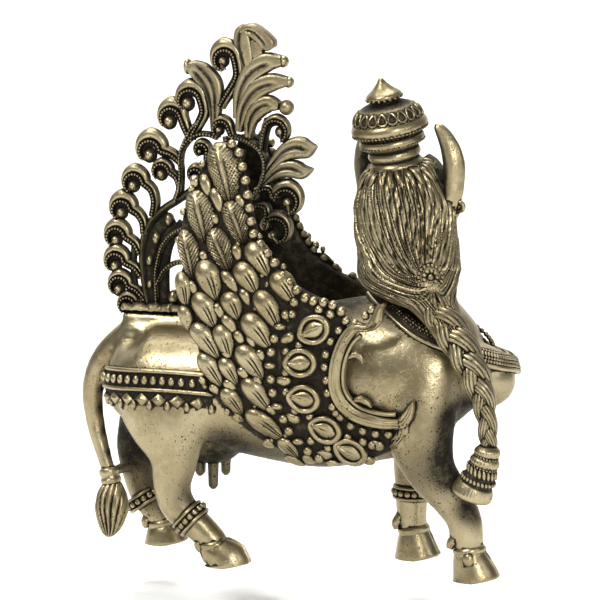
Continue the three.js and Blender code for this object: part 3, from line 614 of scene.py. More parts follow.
# Beads, as places along and up the wing: on the front edge, on the line that ends the feathers, over the
# shoulder panel and on the back edge.
EDGE_BEADS = [
    (-14.9, 116.3), (-12.8, 114.0), (-11.7, 110.4), (-10.6, 106.8), (-9.8, 103.0), (-9.1, 99.5),
    (-8.5, 96.0), (-7.6, 92.7), (-5.7, 90.0), (-3.6, 87.6), (-1.4, 85.2), (0.9, 81.9), (2.8, 80.2),
    (5.0, 78.2), (7.5, 76.2), (9.8, 75.4), (11.4, 73.3), (12.6, 75.2), (15.2, 74.6), (14.6, 72.2),
    (17.6, 73.0),
]
INNER_BEADS = [
    (4.5, 75.0), (2.2, 71.5), (0.6, 68.3), (-0.9, 65.0), (-1.8, 61.3), (-2.2, 57.6), (-2.0, 53.9),
    (-1.6, 50.2), (-0.6, 46.4), (0.9, 42.9), (2.1, 39.5), (4.3, 36.5), (6.6, 33.8), (9.5, 31.8),
    (13.0, 30.6),
]
PANEL_BEADS = [
    (18.9, 70.6), (17.0, 67.9), (14.8, 64.9), (13.4, 61.3), (13.1, 57.9), (13.5, 54.3), (13.7, 50.8),
    (14.9, 47.0), (16.9, 44.3), (19.6, 41.9), (22.8, 40.6), (26.3, 40.0), (29.9, 40.0), (25.9, 73.8),
    (24.2, 72.2), (4.0, 71.8), (6.0, 63.4), (2.4, 61.6), (2.2, 56.0), (2.2, 50.6), (8.4, 44.0),
    (4.4, 45.6), (8.0, 37.0), (15.8, 45.4), (25.0, 36.6), (18.4, 38.4), (21.4, 70.0), (22.6, 37.4),
    (12.6, 35.2),
]
BACK_BEADS = [(-22.8, 110.9), (-25.5, 104.2), (-14.8, 44.3), (-12.2, 42.2), (-27.6, 98.0), (-28.6, 90.4)]
# Drops and medallions on the panel: place along and up, and pitch.
PANEL_DROPS = [
    (3.9, 65.5, -0.5), (2.8, 53.7, 0.0), (4.8, 43.2, 0.3), (12.6, 33.0, 0.1), (27.4, 36.6, 0.2),
    (24.0, 31.9, 0.5),
]
MEDALLIONS = [
    (10.1, 67.9, -0.5), (6.3, 58.8, -0.08), (7.0, 48.9, 0.12), (12.4, 40.3, 0.35), (18.7, 34.0, 0.45),
]


DROP_HALF = 2.0
DROP_WIDE = 2.3
MEDALLION_HALF = (4.75, 4.05)


def medallion(x, z, pitch):
    """An oval boss: a broad rim, and inside it a split seed that points back."""
    rings, sides = ((24, 48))
    r = np.linspace(0.02, 1, rings)[:, None]
    t = laps(sides)[None]
    px, pz = r * np.cos(t), r * np.sin(t) * (1 - 0.22 * np.clip(-np.cos(t), 0, 1) ** 2)
    rise = 1.2 + 0.95 * np.sqrt(np.clip(1 - ((r - 0.84) / 0.2) ** 2, 0, 1))
    lens = np.clip(1 - ((px + 0.03) / 0.7) ** 2, 0.0005, 1)
    bulge = np.clip(1 - (pz / (0.56 * lens**0.7 * (1 + 0.3 * px))) ** 2, 0, 1) * (np.abs(px + 0.03) < 0.69)
    slit = 0.5 * bulge * dip(pz + 0.06 * px, 0.02, 0.045) * np.clip(0.45 - px, 0, 0.6)
    rise = rise + 1.15 * bulge**0.6 - slit
    c, s = math.cos(pitch), math.sin(pitch)
    along, up = MEDALLION_HALF[0] * px, MEDALLION_HALF[1] * pz
    points = on_wing(x + c * along + s * up, z - s * along + c * up, rise)
    foot = on_wing(x + c * along[-1:] + s * up[-1:], z - s * along[-1:] + c * up[-1:], -0.7 + 0 * along[-1:])
    return wrapped(np.concatenate([points, foot]))


# The scroll that frames the shoulder: place along and up, and its half width.
SHOULDER_SCROLL = [
    (27.2, 70.4, 0.8), (24.6, 69.0, 1.1), (21.8, 69.0, 1.5), (19.2, 66.4, 1.7), (17.2, 62.4, 1.7),
    (16.0, 57.6, 1.8), (15.9, 52.6, 1.9), (17.4, 48.6, 2.0), (20.4, 45.6, 2.0), (24.4, 44.0, 2.0),
    (29.0, 43.2, 1.8), (33.0, 43.2, 1.5),
]
SCROLL_MIDDLE = np.array([29.0, 57.0])
# How far the thin lip inside the scroll lies in towards the scroll's middle, as a share of the way.
LIP_INSET = 0.17
# The scroll's smaller bars: the hooked tongue above, the pointed leaf in front, the leaf below, and two
# curls inside. Each has its places, how proud and thick it is, whether it is grooved, and its black.
SCROLL_BARS = [
    ([(29.6, 75.4, 0.5), (28.2, 74.0, 1.3), (27.6, 71.8, 1.6), (26.4, 69.8, 1.4), (24.4, 68.6, 0.8)],
     0.5, 1.5, True, 0),
    ([(31.6, 42.6, 1.2), (34.0, 43.6, 1.7), (35.6, 45.6, 1.6), (36.6, 47.8, 1.0), (37.2, 49.6, 0.25)],
     0.5, 1.5, True, 0),
    ([(34.6, 44.0, 1.0), (34.4, 41.4, 1.5), (33.4, 38.8, 1.5), (31.6, 37.0, 1.0), (30.2, 36.4, 0.3)],
     0.3, 1.4, True, 0),
    ([(19.6, 60.6, 0.4), (21.2, 61.6, 1.0), (22.8, 61.0, 0.9), (23.6, 59.4, 0.3)], 0.1, 0.9, False, 0.2),
    ([(20.6, 48.6, 0.4), (22.4, 49.4, 1.0), (24.4, 48.6, 0.9), (25.6, 47.4, 0.3)], 0.1, 0.9, False, 0.2),
]


def scroll_bar(places, proud, thick, swell=None):
    """A bar lying on the wing. In front of the wing it bends in towards the shoulder."""
    rows = []
    for x, z, wide in places:
        out = level(z, 3) + WING_HALF + proud - 0.05 * max(0, x - 30)
        rows.append([x, -out, z, thick, wide])
    return tube(rows, 28, 4, swell=swell)


def shoulder_scroll(cow):
    """A broad C with a groove down it and a thin lip inside it, then its smaller bars."""

    def ridge(turn, share):
        return 1 - 0.3 * (dip(turn, math.pi - 0.35, 0.2) + dip(turn, math.pi + 0.55, 0.2))

    cow.pair(scroll_bar(SHOULDER_SCROLL, 0.5, 1.8, ridge))
    lip = [(*((x, z) + (SCROLL_MIDDLE - (x, z)) * LIP_INSET), 0.65) for x, z, wide in SHOULDER_SCROLL[2:]]
    cow.pair(scroll_bar(lip, 0.35, 1.0), 0.1)
    for places, proud, thick, grooved, black in SCROLL_BARS:
        cow.pair(scroll_bar(places, proud, thick, ridge if grooved else None), black)


BEAD_ROWS = ((EDGE_BEADS, 1.36), (INNER_BEADS, 1.35), (PANEL_BEADS, 1.25), (BACK_BEADS, 1.05))


def gap_beads(cow, x, z, wide):
    """A bead on each side of a feather's tip, in the gap to the next one, where the wing is behind it."""
    for side in (-0.62, 0.62):
        along, up = x + FEATHER_SHIFT[0] + 0.9 * side * wide, z + 0.4 + 0.35 * side * wide
        if along > level(up, 1) + 2:
            cow.pair(ball(on_wing(along, up, 0.1), (0.8, 0.8, 1.0), 8, 6), 0.1)


def wing_beads(cow):
    """The beads of both wings, some of them long, and a second row on the far wing's front edge."""
    for places, radius in BEAD_ROWS:
        for i, (x, z) in enumerate(places):
            longer = 1.3 if places is INNER_BEADS and i % 3 == 2 else 1.0
            cow.pair(ball(on_wing(x, z, 0.5), (radius * longer, radius, radius / longer), 12, 8))
    for z in np.arange(77.0, 112.0, 2.3):
        cow.add(ball((level(z, 2) + 0.5, level(z, 3) + 0.6, z), 1.25, 12, 8), 0.5)


def wings(cow):
    cow.pair(wing_slab(), GROUND_BLACK)
    for x0, z0, x1, z1, wide, kind in FEATHERS:
        cow.pair(*feather((x0, z0), (x1, z1), wide, kind))
        if kind == 1:
            gap_beads(cow, x0, z0, wide)
    wing_beads(cow)
    for x, z, pitch in MEDALLIONS:
        cow.pair(medallion(x, z, pitch))
    for x, z, pitch in PANEL_DROPS:
        along, up = DROP_HALF * math.cos(pitch), -DROP_HALF * math.sin(pitch)
        cow.pair(*feather((x + along, z + up), (x - along, z - up), DROP_WIDE, 0))
    shoulder_scroll(cow)


# Collar and bust
# The bodice's rim on the near side, from behind the neck to the middle of the breast.
RIM = np.array([
    [19.4, 0, 75.3], [22.4, -4.6, 73.9], [26.1, -8.1, 72.1], [29.7, -11.0, 69.9], [33.7, -13.1, 67.4],
    [37.3, -13.9, 65.5], [40.8, -14.0, 64.1], [44.2, -13.5, 62.8], [48.0, -12.8, 61.2],
    [51.5, -11.9, 59.8], [54.8, -10.6, 58.7], [57.6, -8.6, 57.8], [59.4, -5.8, 57.0], [60.4, -2.6, 56.4],
    [60.8, 0, 56.2],
])
# Steps inwards and upwards from the rim, over the shoulder and at the breast.
BAND = np.array([[0, -0.4], [0.3, 0.8], [1.0, 1.9], [1.7, 3.0], [2.6, 4.0], [4.2, 4.4]])
FRIEZE = np.array([[0, -0.4], [0.0, 0.9], [0.3, 2.0], [0.8, 3.2], [1.8, 4.2], [5.4, 4.5]])
NECK_FOOT = np.array([38.0, 0.0])


def on_collar(share, rise, out=0.0):
    """A point of the band, at a share along the rim and a rise from 0 at the rim to 1 at the band's top."""
    share = np.atleast_1d(share)
    rim = smooth(RIM, share)
    inward = np.c_[unit(NECK_FOOT - rim[:, :2]), 0 * share]
    breast = np.clip((share - 0.5) / 0.18, 0, 1)[:, None]
    rows, step = range(len(BAND)), rise * (len(BAND) - 1)
    ahead, up = (
        np.interp(step, rows, BAND[:, k]) * (1 - breast) + np.interp(step, rows, FRIEZE[:, k]) * breast
        for k in (0, 1)
    )
    return rim + inward * (ahead - out) + UP * (up + 0.25 * out)


def star(share, rise):
    """A bead with six small ones round it, lying on the band."""
    middle = on_collar(share, rise, 0.5)[0]
    along = unit(on_collar(share + 0.01, rise, 0.5)[0] - middle)
    up = unit(on_collar(share, rise + 0.1, 0.5)[0] - middle)
    arms = [middle + 0.92 * (math.cos(t) * along + math.sin(t) * up) for t in laps(6)]
    return [ball(middle, 0.46, 8, 6), *(ball(arm, 0.27, 6, 4) for arm in arms)]


# The rows of beads at the breast: rise, number, size and shift.
BREAST_BEADS = (
    (0.2, 26, 0.56, 0.0), (0.37, 26, 0.52, 0.5), (0.53, 24, 0.66, 0.0), (0.69, 26, 0.5, 0.5),
    (0.97, 24, 0.5, 0.0),
)
BREAST_FROM = 0.57
# The string of beads that falls over her far shoulder.
STRING = np.array([[47.0, 3, 68.9], [48.9, 4, 67.5], [51.1, 5, 66.0], [52.4, 5.6, 64.4], [53.0, 6, 62.6]])


def collar_band(body):
    """The bodice's rim, and above it the black band with stars on the shoulder and beads at the breast."""
    cow = Casting()
    shares = np.linspace(0, 1, 110)
    rises = np.linspace(0, 1, 11)
    top, base = (np.stack([on_collar(shares, rise, out) for rise in rises], 1) for out in (0.3, -2.4))
    cow.pair(pad(top, base), 1.0)
    rim = np.c_[on_collar(shares, 0.04, 0.25), np.where(shares > 0.6, 0.85, 0.62)]
    cow.pair(tube(rim, 12, 1, across=(0, 0, 1)))
    front = shares[shares > 0.56]
    cow.pair(tube(np.c_[on_collar(front, 0.86, 0.2), 0.42 + 0 * front], 10, 1, across=(0, 0, 1)), 0.1)
    for share in np.linspace(0.1, 0.56, 12):
        for shape in star(share, 0.52):
            cow.pair(shape, 0.05)
    for rise, number, size, shift in BREAST_BEADS:
        for i in range(number):
            share = BREAST_FROM + (1 - BREAST_FROM) * (i + shift) / number
            cow.pair(ball(on_collar(share, rise, 0.4)[0], size, 8, 6), 0.05)
    for place in smooth(STRING, np.linspace(0, 1, 9)):
        cow.add(ball(place, 0.75, 9, 6), 0.15)
        cow.add(ball(place + [-1.3, -0.6, -0.9], 0.6, 8, 5), 0.3)
    # The bodice hangs lower on her left, the way she turns.
    for points in cow.points:
        points[:, 2] -= 0.2 * np.clip((points[:, 0] - 42) / 10, 0, 1) * np.maximum(points[:, 1] + 3, 0)
    body.join(cow)


# Head, horns and crown
FACE_TURN = math.radians(70)
HEAD_SEAT = np.array([30.4, -1.5, 97.6])
LEAN = unit(np.array([-0.15, -0.17, 1.0]))


def head_axes():
    """The ways that the face looks, that its left lies and that it stands, after the turn and the lean."""
    axis = np.cross(UP, LEAN)
    sine, cosine = np.linalg.norm(axis), LEAN[2]
    axis = axis / sine
    ahead = np.array([math.cos(FACE_TURN), math.sin(FACE_TURN), 0])
    ways = (ahead, np.cross(UP, ahead), UP)
    return np.array([v * cosine + np.cross(axis, v) * sine + axis * (axis @ v) * (1 - cosine) for v in ways])


HEAD = head_axes()


def on_head(points):
    return np.asarray(points, float) @ HEAD + HEAD_SEAT


def head_tube(rows, *args, **kinds):
    rows = [[*on_head(row[:3]), *row[3:]] for row in rows]
    return tube(rows, *args, **kinds)


# The face from chin to crown: height, how far forward, half width and half depth.
FACE = np.array([
    [-13.6, 4.4, 1.4, 1.2], [-12.9, 4.2, 3.2, 3.4], [-11.4, 3.7, 5.0, 5.2], [-9, 2.8, 7.0, 7.2],
    [-6, 2.0, 8.5, 8.5], [-2, 1.2, 9.6, 9.5], [2, 0.8, 9.9, 9.9], [6, 0.4, 9.6, 9.6], [10, 0, 8.4, 8.4],
    [12, 0, 7, 7],
])
# Its features, as how far they are raised, place across and up, half width and half height: nostrils, eye
# sockets, brows, cheeks, lower lids, upper lids, the two lips, the line between them, the dip under them,
# the chin and the mark on the forehead. Those off the middle come in pairs.
FEATURES = (
    (0.65, 1.45, -4.5, 0.7, 0.75), (-1.15, 3.5, 0.2, 2.2, 1.7), (0.55, 3.9, 2.9, 2.7, 0.8),
    (0.35, 4.8, -3.6, 2.2, 2.2), (-0.34, 3.5, -0.55, 1.9, 0.2), (-0.3, 3.5, 1.35, 2.0, 0.25),
    (0.9, 0, -7.1, 2.3, 0.7), (0.85, 0, -8.5, 1.9, 0.7), (-0.75, 0, -7.85, 2.5, 0.22),
    (-0.45, 0, -9.9, 2.0, 0.7), (0.6, 0, -11.6, 2.4, 1.2), (0.5, 0, 6.0, 0.8, 0.9),
)


def face_shape():
    """A calm, plain face: rings from chin to crown, with brow, eyes, nose and lips raised from them."""
    rings, sides = ((76, 84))
    z = np.linspace(FACE[0, 0], FACE[-1, 0], rings)
    shift, wide, deep = (np.interp(z, FACE[:, 0], FACE[:, k])[:, None] for k in (1, 2, 3))
    lap = np.linspace(-1, 1, sides, endpoint=False)
    turn = math.pi * (0.55 * lap + 0.45 * lap**3)[None]
    x, y = shift + deep * np.cos(turn), wide * np.sin(turn)
    height = z[:, None]
    front = np.clip(np.cos(turn), 0, 1) ** 0.5
    nose_line = np.interp(height, [-5.6, -4.9, -4.2, 0.5, 2.6, 3.6], [0, 1.5, 2.5, 1.25, 0.55, 0])
    rise = nose_line * np.exp(-((y / np.interp(height, [-5, -3, 2], [1.35, 1.15, 0.9])) ** 2))
    for raised, across, up, half_wide, half_high in FEATURES:
        for side in (-across, across) if across else (0,):
            rise += raised * dip(y, side, half_wide) * dip(height, up, half_high)
    for side in (-3.5, 3.5):
        rise += np.exp(-(((y - side) / 1.75) ** 4) - ((height + 0.05) / 0.95) ** 2)
    x = x + rise * front
    return wrapped(on_head(np.stack([x, y, height + 0 * x], -1)))


# The crown's outline, as radius and height: two rolls, a ribbed roll, a roped rim, a dome and a cone.
CROWN = [
    [5.6, 14.5], [6.5, 16.6], [7.0, 17.3], [7.3, 18.2], [7.2, 19.0], [6.6, 19.7], [6.3, 20.1],
    [6.7, 20.5], [7.1, 21.1], [7.15, 21.9], [6.8, 22.7], [6.5, 23.1], [6.8, 23.4], [7.8, 23.8],
    [8.6, 24.4], [8.9, 25.2], [8.7, 26.1], [8.1, 26.7], [7.8, 27.0], [8.5, 27.3], [9.7, 27.8],
    [10.3, 28.5], [10.45, 29.3], [10.2, 30.1], [9.8, 30.7], [9.5, 31.0], [9.4, 31.6], [9.1, 32.6],
    [8.3, 33.6], [7.1, 34.6], [5.9, 35.2], [4.8, 35.6], [4.0, 35.8], [3.8, 36.3], [4.1, 36.7],
    [4.6, 37.0], [4.85, 37.4], [4.75, 37.9], [4.2, 38.5], [3.4, 39.1], [2.6, 39.8], [1.85, 40.6],
    [1.2, 41.3], [0.85, 41.9], [0.55, 42.3], [0.2, 42.5],
]
# The crown's rows of beads: radius, height, number, size and black.
CROWN_BEADS = (
    (4.75, 37.05, 20, 0.5, 0), (10.2, 28.0, 60, 0.34, 0), (8.35, 27.05, 46, 0.34, 0.2),
    (9.55, 31.1, 52, 0.28, 0.2), (8.8, 24.6, 50, 0.28, 0.1),
)
# The black grooves between the crown's rolls, as height and width, and the dome's stretch of heights.
CROWN_GROOVES = ((35.6, 1.2), (27.1, 0.35), (23.1, 0.4), (20.1, 0.4), (16.9, 0.5))
DOME = (31.1, 34.3)
PETALS = 21


def on_crown(points):
    return np.asarray(points, float) @ HEAD + HEAD_SEAT + [0.6, 0, -4.4]


def round_crown(radius, height):
    """The circle round the crown at a radius and height, as a point for each turn."""
    return lambda turn: on_crown([radius * math.cos(turn), radius * math.sin(turn), height])


def crown(cow):
    fine = np.linspace(0, 1, 110)
    rows = np.array(CROWN)
    profile = smooth(np.c_[rows, 0 * rows[:, 0]], fine)[:, :2]
    sides = 90
    h = profile[:, 1]
    grooves = [dip(h, place, width) for place, width in CROWN_GROOVES]
    black = np.maximum.reduce([((h > DOME[0]) & (h < DOME[1])) * 0.8, *grooves])

    def ribs(turn, height):
        roll = 0.09 * np.cos(33 * (turn + 0.05 * height)) * dip(height, 25.3, 0.9)
        return roll + 0.13 * np.cos(31 * turn) * dip(height, 28.2, 0.6)

    cow.add(turned(profile, sides, on_crown, ribs), black=np.repeat(black, sides))
    for radius, height, number, size, dark in CROWN_BEADS:
        bead_ring(cow, round_crown(radius, height), number, size, dark, 6, 4)
    petal_row(cow, profile)


def petal_row(cow, profile):
    """A row of open drops that lie on the dome."""
    around = laps(18)
    for i in range(PETALS):
        wide = 1.1 * np.cos(around) * (1 - 0.4 * np.sin(around))
        height = 32.7 + 1.35 * np.sin(around)
        reach = np.interp(height, profile[:, 1], profile[:, 0]) + 0.15
        angle = TURN * i / PETALS + wide / reach
        line = np.stack([reach * np.cos(angle), reach * np.sin(angle), height], -1)
        ahead = unit(np.roll(line, -1, 0) - np.roll(line, 1, 0))
        out = unit(line * [1, 1, 0.6])
        cow.add(placed(round_bar(line, out, np.cross(ahead, out), 0.32, 6), on_crown))


# The left horn, and the dark roll of hair between it and the crown.
HORN = [
    [1.8, 11.2, 0.2, 3.0, 3.2], [2.6, 13.6, 3.4, 2.8, 2.9], [4.0, 14.3, 7.4, 2.85, 2.95],
    [5.0, 14.7, 11.6, 2.9, 3.0], [5.5, 14.2, 15.8, 2.65, 2.75], [5.7, 13.1, 19.2, 2.2, 2.2],
    [5.6, 12.2, 21.2, 1.75, 1.75], [5.5, 11.5, 22.6, 1.25, 1.25], [5.5, 11.2, 23.4, 0.5, 0.5],
]
HORN_ROLL = [[7.6, 3.6, 12.8, 2.2], [7.4, 5.4, 11.0, 2.7], [6.2, 7.6, 9.0, 2.8], [4.8, 10.4, 6.4, 2.8]]
HORN_SQUARENESS = 1.45
# The left ear's middle and that of its round drop.
EAR = (2.2, 13.6, -0.2)
EAR_DROP = (2.4, 15.9, 1.0)


def horns(cow):
    """Two curved horns with an edge down the back, and a round ear drop under each."""
    sides, steps = 32, 5

    def facet(turn, share):
        edge = np.abs(np.cos(turn)) ** HORN_SQUARENESS + np.abs(np.sin(turn)) ** HORN_SQUARENESS
        return edge ** (-1 / HORN_SQUARENESS) * 1.12 - 0.06 * dip(share, 0.14, 0.02)

    for s in (-1, 1):
        # The far horn, on her left, is painted at least 0.4 black all over: painted shade. Each horn is also
        # darker on its inner face.
        inner = np.clip(0.4 - s * np.sin(laps(sides)) * 1.9, 0, 1)
        shade = np.tile(np.maximum(inner, 0.4 if s > 0 else 0), steps * (len(HORN) - 1) + 1)
        cow.add(head_tube(np.array(HORN) * [1, s, 1, 1, 1], sides, steps, across=HEAD[0], swell=facet), shade)
        cow.add(head_tube(np.array(HORN_ROLL) * [1, s, 1, 1], 20, 4), 0.75)
        ear, drop = np.array([EAR, EAR_DROP]) * [1, s, 1]
        out = np.stack([0 * laps(24), np.cos(laps(24)), np.sin(laps(24))], -1)
        cow.add(placed(round_bar(drop + 1.25 * out, out, [1.0, 0.0, 0.0], 0.62, 8), on_head))
        cow.add(ball(on_head(drop), 0.8, 10, 7), 0.5)
        cow.add(ball(on_head(ear), (2.0, 2.0, 2.4), 12, 8), 0.2)


# Hair, plait and tassel
HAIR = [
    [29, -3, 111.2, 7.2, 7.8], [29.2, -3.2, 108.4, 9.6, 9.5], [29.8, -3.5, 105, 11.2, 11.6],
    [30.6, -4.2, 99.6, 12, 13.6], [31.0, -5.0, 93, 12, 13.8], [32.1, -6.2, 87, 11.8, 13.4],
    [33.2, -8.0, 82, 11, 13.5], [36.8, -10.6, 78.0, 9.4, 10.2], [40.6, -13.0, 74.8, 7, 6.4],
    [44.2, -15.4, 70.8, 5.4, 5.0], [47.4, -16.9, 66.2, 4.4, 4.2],
]
CLIP = np.array([41.0, -17.5, 82.6])
STRAND = 1.8
HAIR_RADIUS = 12.6
# How strongly the strands are drawn in to the clip, from behind it and from before it.
DRAWN = (21.0, 6.0)
# The short wisps round the crown's foot: radius, height and half width along each.
WISP = ((6.6, 17.6, 0.8), (8.6, 17.0, 0.95), (10.0, 15.4, 0.8), (10.9, 13.2, 0.45))
WISPS = 34


def hair_rings():
    """The hair's smooth rings, the way out of each point, and how far round it lies."""
    sides, rings = ((250, 150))
    rows = np.array(HAIR, float)
    share = np.linspace(0, 1, rings)
    centre = smooth(rows[:, :3], share)
    wide, high = smooth(np.c_[rows[:, 3:], 0 * rows[:, 3]], share)[:, :2].T[..., None]
    tangent = unit(0.55 * unit(np.gradient(centre, axis=0)) - UP)
    side = unit(np.array([0.0, 1.0, 0.0]) - tangent * tangent[:, 1:2])
    upright = np.cross(tangent, side)
    lap = np.linspace(-1, 1, sides, endpoint=False)
    turn = math.pi * (0.6 * lap + 0.4 * lap**3)
    beside, upwards = (np.cos(turn) * wide)[..., None], (np.sin(turn) * high)[..., None]
    ring = -side[:, None] * beside - upright[:, None] * upwards
    # The turn at which the clip lies changes down the hair, as the hair bends.
    clip_turn = np.interp(centre[:, 2], (66, 82, 93, 112), (0.5, 0.64, 0.81, 1.0))
    return centre[:, None] + ring, unit(ring), -(turn[None] + clip_turn[:, None]) * HAIR_RADIUS


def face_window(points):
    """1 where the face looks out of the hair, eased to 0 round it."""
    head = (points - HEAD_SEAT) @ HEAD.T
    look = np.clip(1.9 - np.abs(np.arctan2(head[..., 1], head[..., 0])) / 0.62, 0, 1)
    window = look * np.clip((8.5 - head[..., 2]) / 1.6, 0, 1) * np.clip((head[..., 2] + 16) / 4, 0, 1)
    return window * window * (3 - 2 * window)


def hair(cow):
    """A fall of strands that sweep from the crown to the flower clip. The face looks out of a gap."""
    points, out, right = hair_rings()
    above = points[..., 2] - CLIP[2]
    # Strands fall straight down and are drawn in towards the clip, more so from the back of the head.
    drawn = np.where(right < 0, *DRAWN)
    flow = right + drawn * np.arctan2(right, above + 1.5)
    run = flow / STRAND + 0.4 * np.sin(0.2 * above + 0.35 * flow) + 0.22 * np.sin(0.55 * above + 1.7 * flow)
    which = np.floor(run + 0.5)
    uneven = 0.5 + 0.5 * np.sin(which * 2.7 + np.sin(which * 5.1) + 0.12 * above)
    ridge = np.abs(np.cos(math.pi * run))
    calm = np.clip((np.hypot(right, above) - 2.4) / 3.0, 0, 1) * np.clip((above + 8.5) / 4, 0, 1)
    loose = np.clip((-above - 3.5) / 4, 0, 1)
    twist = np.abs(np.cos(math.pi * (right / 2.3 + 0.5 * np.sin(0.4 * above + 0.5 * right))))
    grow = calm * (ridge**0.8 * (0.5 + 0.34 * uneven) + 0.3 * np.cos(TURN * run * 0.16 + 1.0) - 0.36)
    grow = grow + loose * 0.5 * (twist**0.8 - 0.5)
    points = points + out * (grow - 4.6 * face_window(points))[..., None]
    groove = calm * (1 - ridge) ** 1.8 * 1.5 + loose * (1 - twist) ** 1.6
    cow.add(wrapped(points), black=np.clip(groove, 0, 1).reshape(-1))
    for i in range(WISPS):
        lift = 0.3 * math.sin(1.7 * i)
        rows = []
        for k, (reach, height, wide) in enumerate(WISP):
            turn = TURN * i / WISPS + 0.16 * math.sin(2.3 * i) * k / 3
            rows.append([*on_crown([reach * math.cos(turn), reach * math.sin(turn), height + lift]), wide])
        cow.add(tube(rows, 8, 3))


# A flower's beads: number, reach, size and how proud they lie.
FLOWER_BEADS = (
    (18, 3.15, (0.5, 0.5, 0.5), 0.2), (9, 1.75, (0.72, 0.6, 0.62), 0.35), (1, 0, (0.85, 0.8, 0.85), 0.5),
)


def flower(cow, place, out, scale):
    """A round hair flower: a beaded ring, petals and a boss."""
    out = unit(np.array(out))
    right = unit(np.cross(UP, -out)) * -1
    up = np.cross(out, right) * -1

    def on_flower(reach, turn, proud):
        x, z = reach * math.cos(turn), reach * math.sin(turn)
        return place + scale * (right * x + up * z + out * proud)

    layers = ((-2.6, 3.2), (-0.4, 3.5), (0.15, 3.3), (0.3, 2.6))
    disc = [[*on_flower(0, 0, low), scale * reach] for low, reach in layers]
    cow.add(tube(disc, 36, 2, across=right), black=0.45)
    for number, reach, size, proud in FLOWER_BEADS:
        size = scale * np.array(size)
        bead_ring(cow, lambda turn: on_flower(reach, turn, proud), number, size, 0.08, 9)


def clip(cow):
    """The flower clip where the strands meet, and a small flower on the strands above it."""
    flower(cow, CLIP, (0.36, -0.92, 0.12), 1.0)
    flower(cow, np.array([42.4, -11.9, 92.3]), (0.78, -0.63, 0.05), 0.45)


PLAIT = [
    [41.6, -16.6, 75.4, 3.6], [43.4, -17.2, 72.6, 4.8], [46.2, -17.9, 69.2, 5.0], [48.9, -18.3, 65.6, 4.9],
    [51.3, -18.7, 61.8, 4.8], [53.5, -19.0, 57.8, 4.5], [55.2, -19.0, 53.6, 4.0], [56.2, -18.8, 49.6, 3.5],
    [56.8, -18.3, 45.4, 3.1], [57.1, -17.8, 41.4, 2.9], [57.1, -17.4, 38.2, 2.6],
]


def plait(cow):
    """Three long locks that cross over one another down the near shoulder to the tassel."""
    rows = np.array(PLAIT, float)
    share = np.linspace(0, 1, 100)
    centre = smooth(rows[:, :3], share)
    wide = np.interp(share, np.linspace(0, 1, len(rows)), rows[:, 3])[:, None]
    tangent = unit(np.gradient(centre, axis=0))
    facing = np.array([0.1, -1.0, 0.1])
    out = unit(facing - tangent * (tangent @ facing)[:, None])
    side = np.cross(tangent, out)
    crossings, sides = 2.1, 44

    def run(turn, share):
        return 6 * turn + 12 * share

    def grooves(turn, share):
        return 0.9 + 0.16 * np.abs(np.cos(run(turn, share))) ** 0.7 + 0.05 * np.cos(2 * turn + 17 * share)

    dark = 1.05 * (1 - np.abs(np.cos(run(laps(sides)[None], share[:, None])))) ** 1.1
    for i in range(3):
        phase = TURN * (crossings * share + i / 3)[:, None]
        line = centre + side * wide * 0.46 * np.sin(phase) + out * wide * 0.24 * np.sin(2 * phase)
        thick = wide * (0.6 + 0.05 * np.cos(2 * phase))
        lock = tube(np.c_[line, thick, thick * 0.8], sides, 1, across=(0.2, 0.9, 0.3), swell=grooves)
        cow.add(lock, black=dark.reshape(-1))


# The tassel's axis, and its outline as length down the axis, radius and black.
TASSEL_LINE = [
    [57.0, -17.4, 38.0], [56.7, -17.2, 35.8], [55.9, -17, 33.0], [54.8, -16.8, 29.9], [53.3, -16.5, 26.7],
    [51.9, -16.2, 23.2],
]
TASSEL = [
    [0, 2.3, 0.5], [0.5, 2.9, 0.1], [1.1, 3.4, 0], [1.8, 3.55, 0], [2.5, 3.3, 0.2], [2.9, 3.0, 1],
    [3.3, 3.5, 0.3], [3.9, 3.95, 0], [4.6, 4.1, 0], [5.3, 3.9, 0.3], [5.7, 3.5, 1], [6.1, 3.6, 1],
    [7.2, 3.9, 1], [8.4, 4.1, 1], [8.9, 4.2, 1], [9.3, 4.4, 0.9], [10.1, 4.5, 0.9], [10.8, 4.4, 1],
    [11.2, 4.8, 0.4], [12.0, 5.2, 0], [13.0, 5.5, 0], [14.0, 5.65, 0], [14.7, 5.5, 0], [15.2, 4.8, 0.1],
    [15.4, 3.4, 0.3],
]
# The tassel's rows of beads: length down it, reach, number and size.
TASSEL_BEADS = (
    (7.1, 3.95, 20, (0.5, 0.5, 1.25)), (9.7, 4.5, 26, (0.52, 0.52, 0.62)),
    (2.9, 3.15, 24, (0.36, 0.36, 0.36)), (5.75, 3.6, 26, (0.36, 0.36, 0.36)),
)


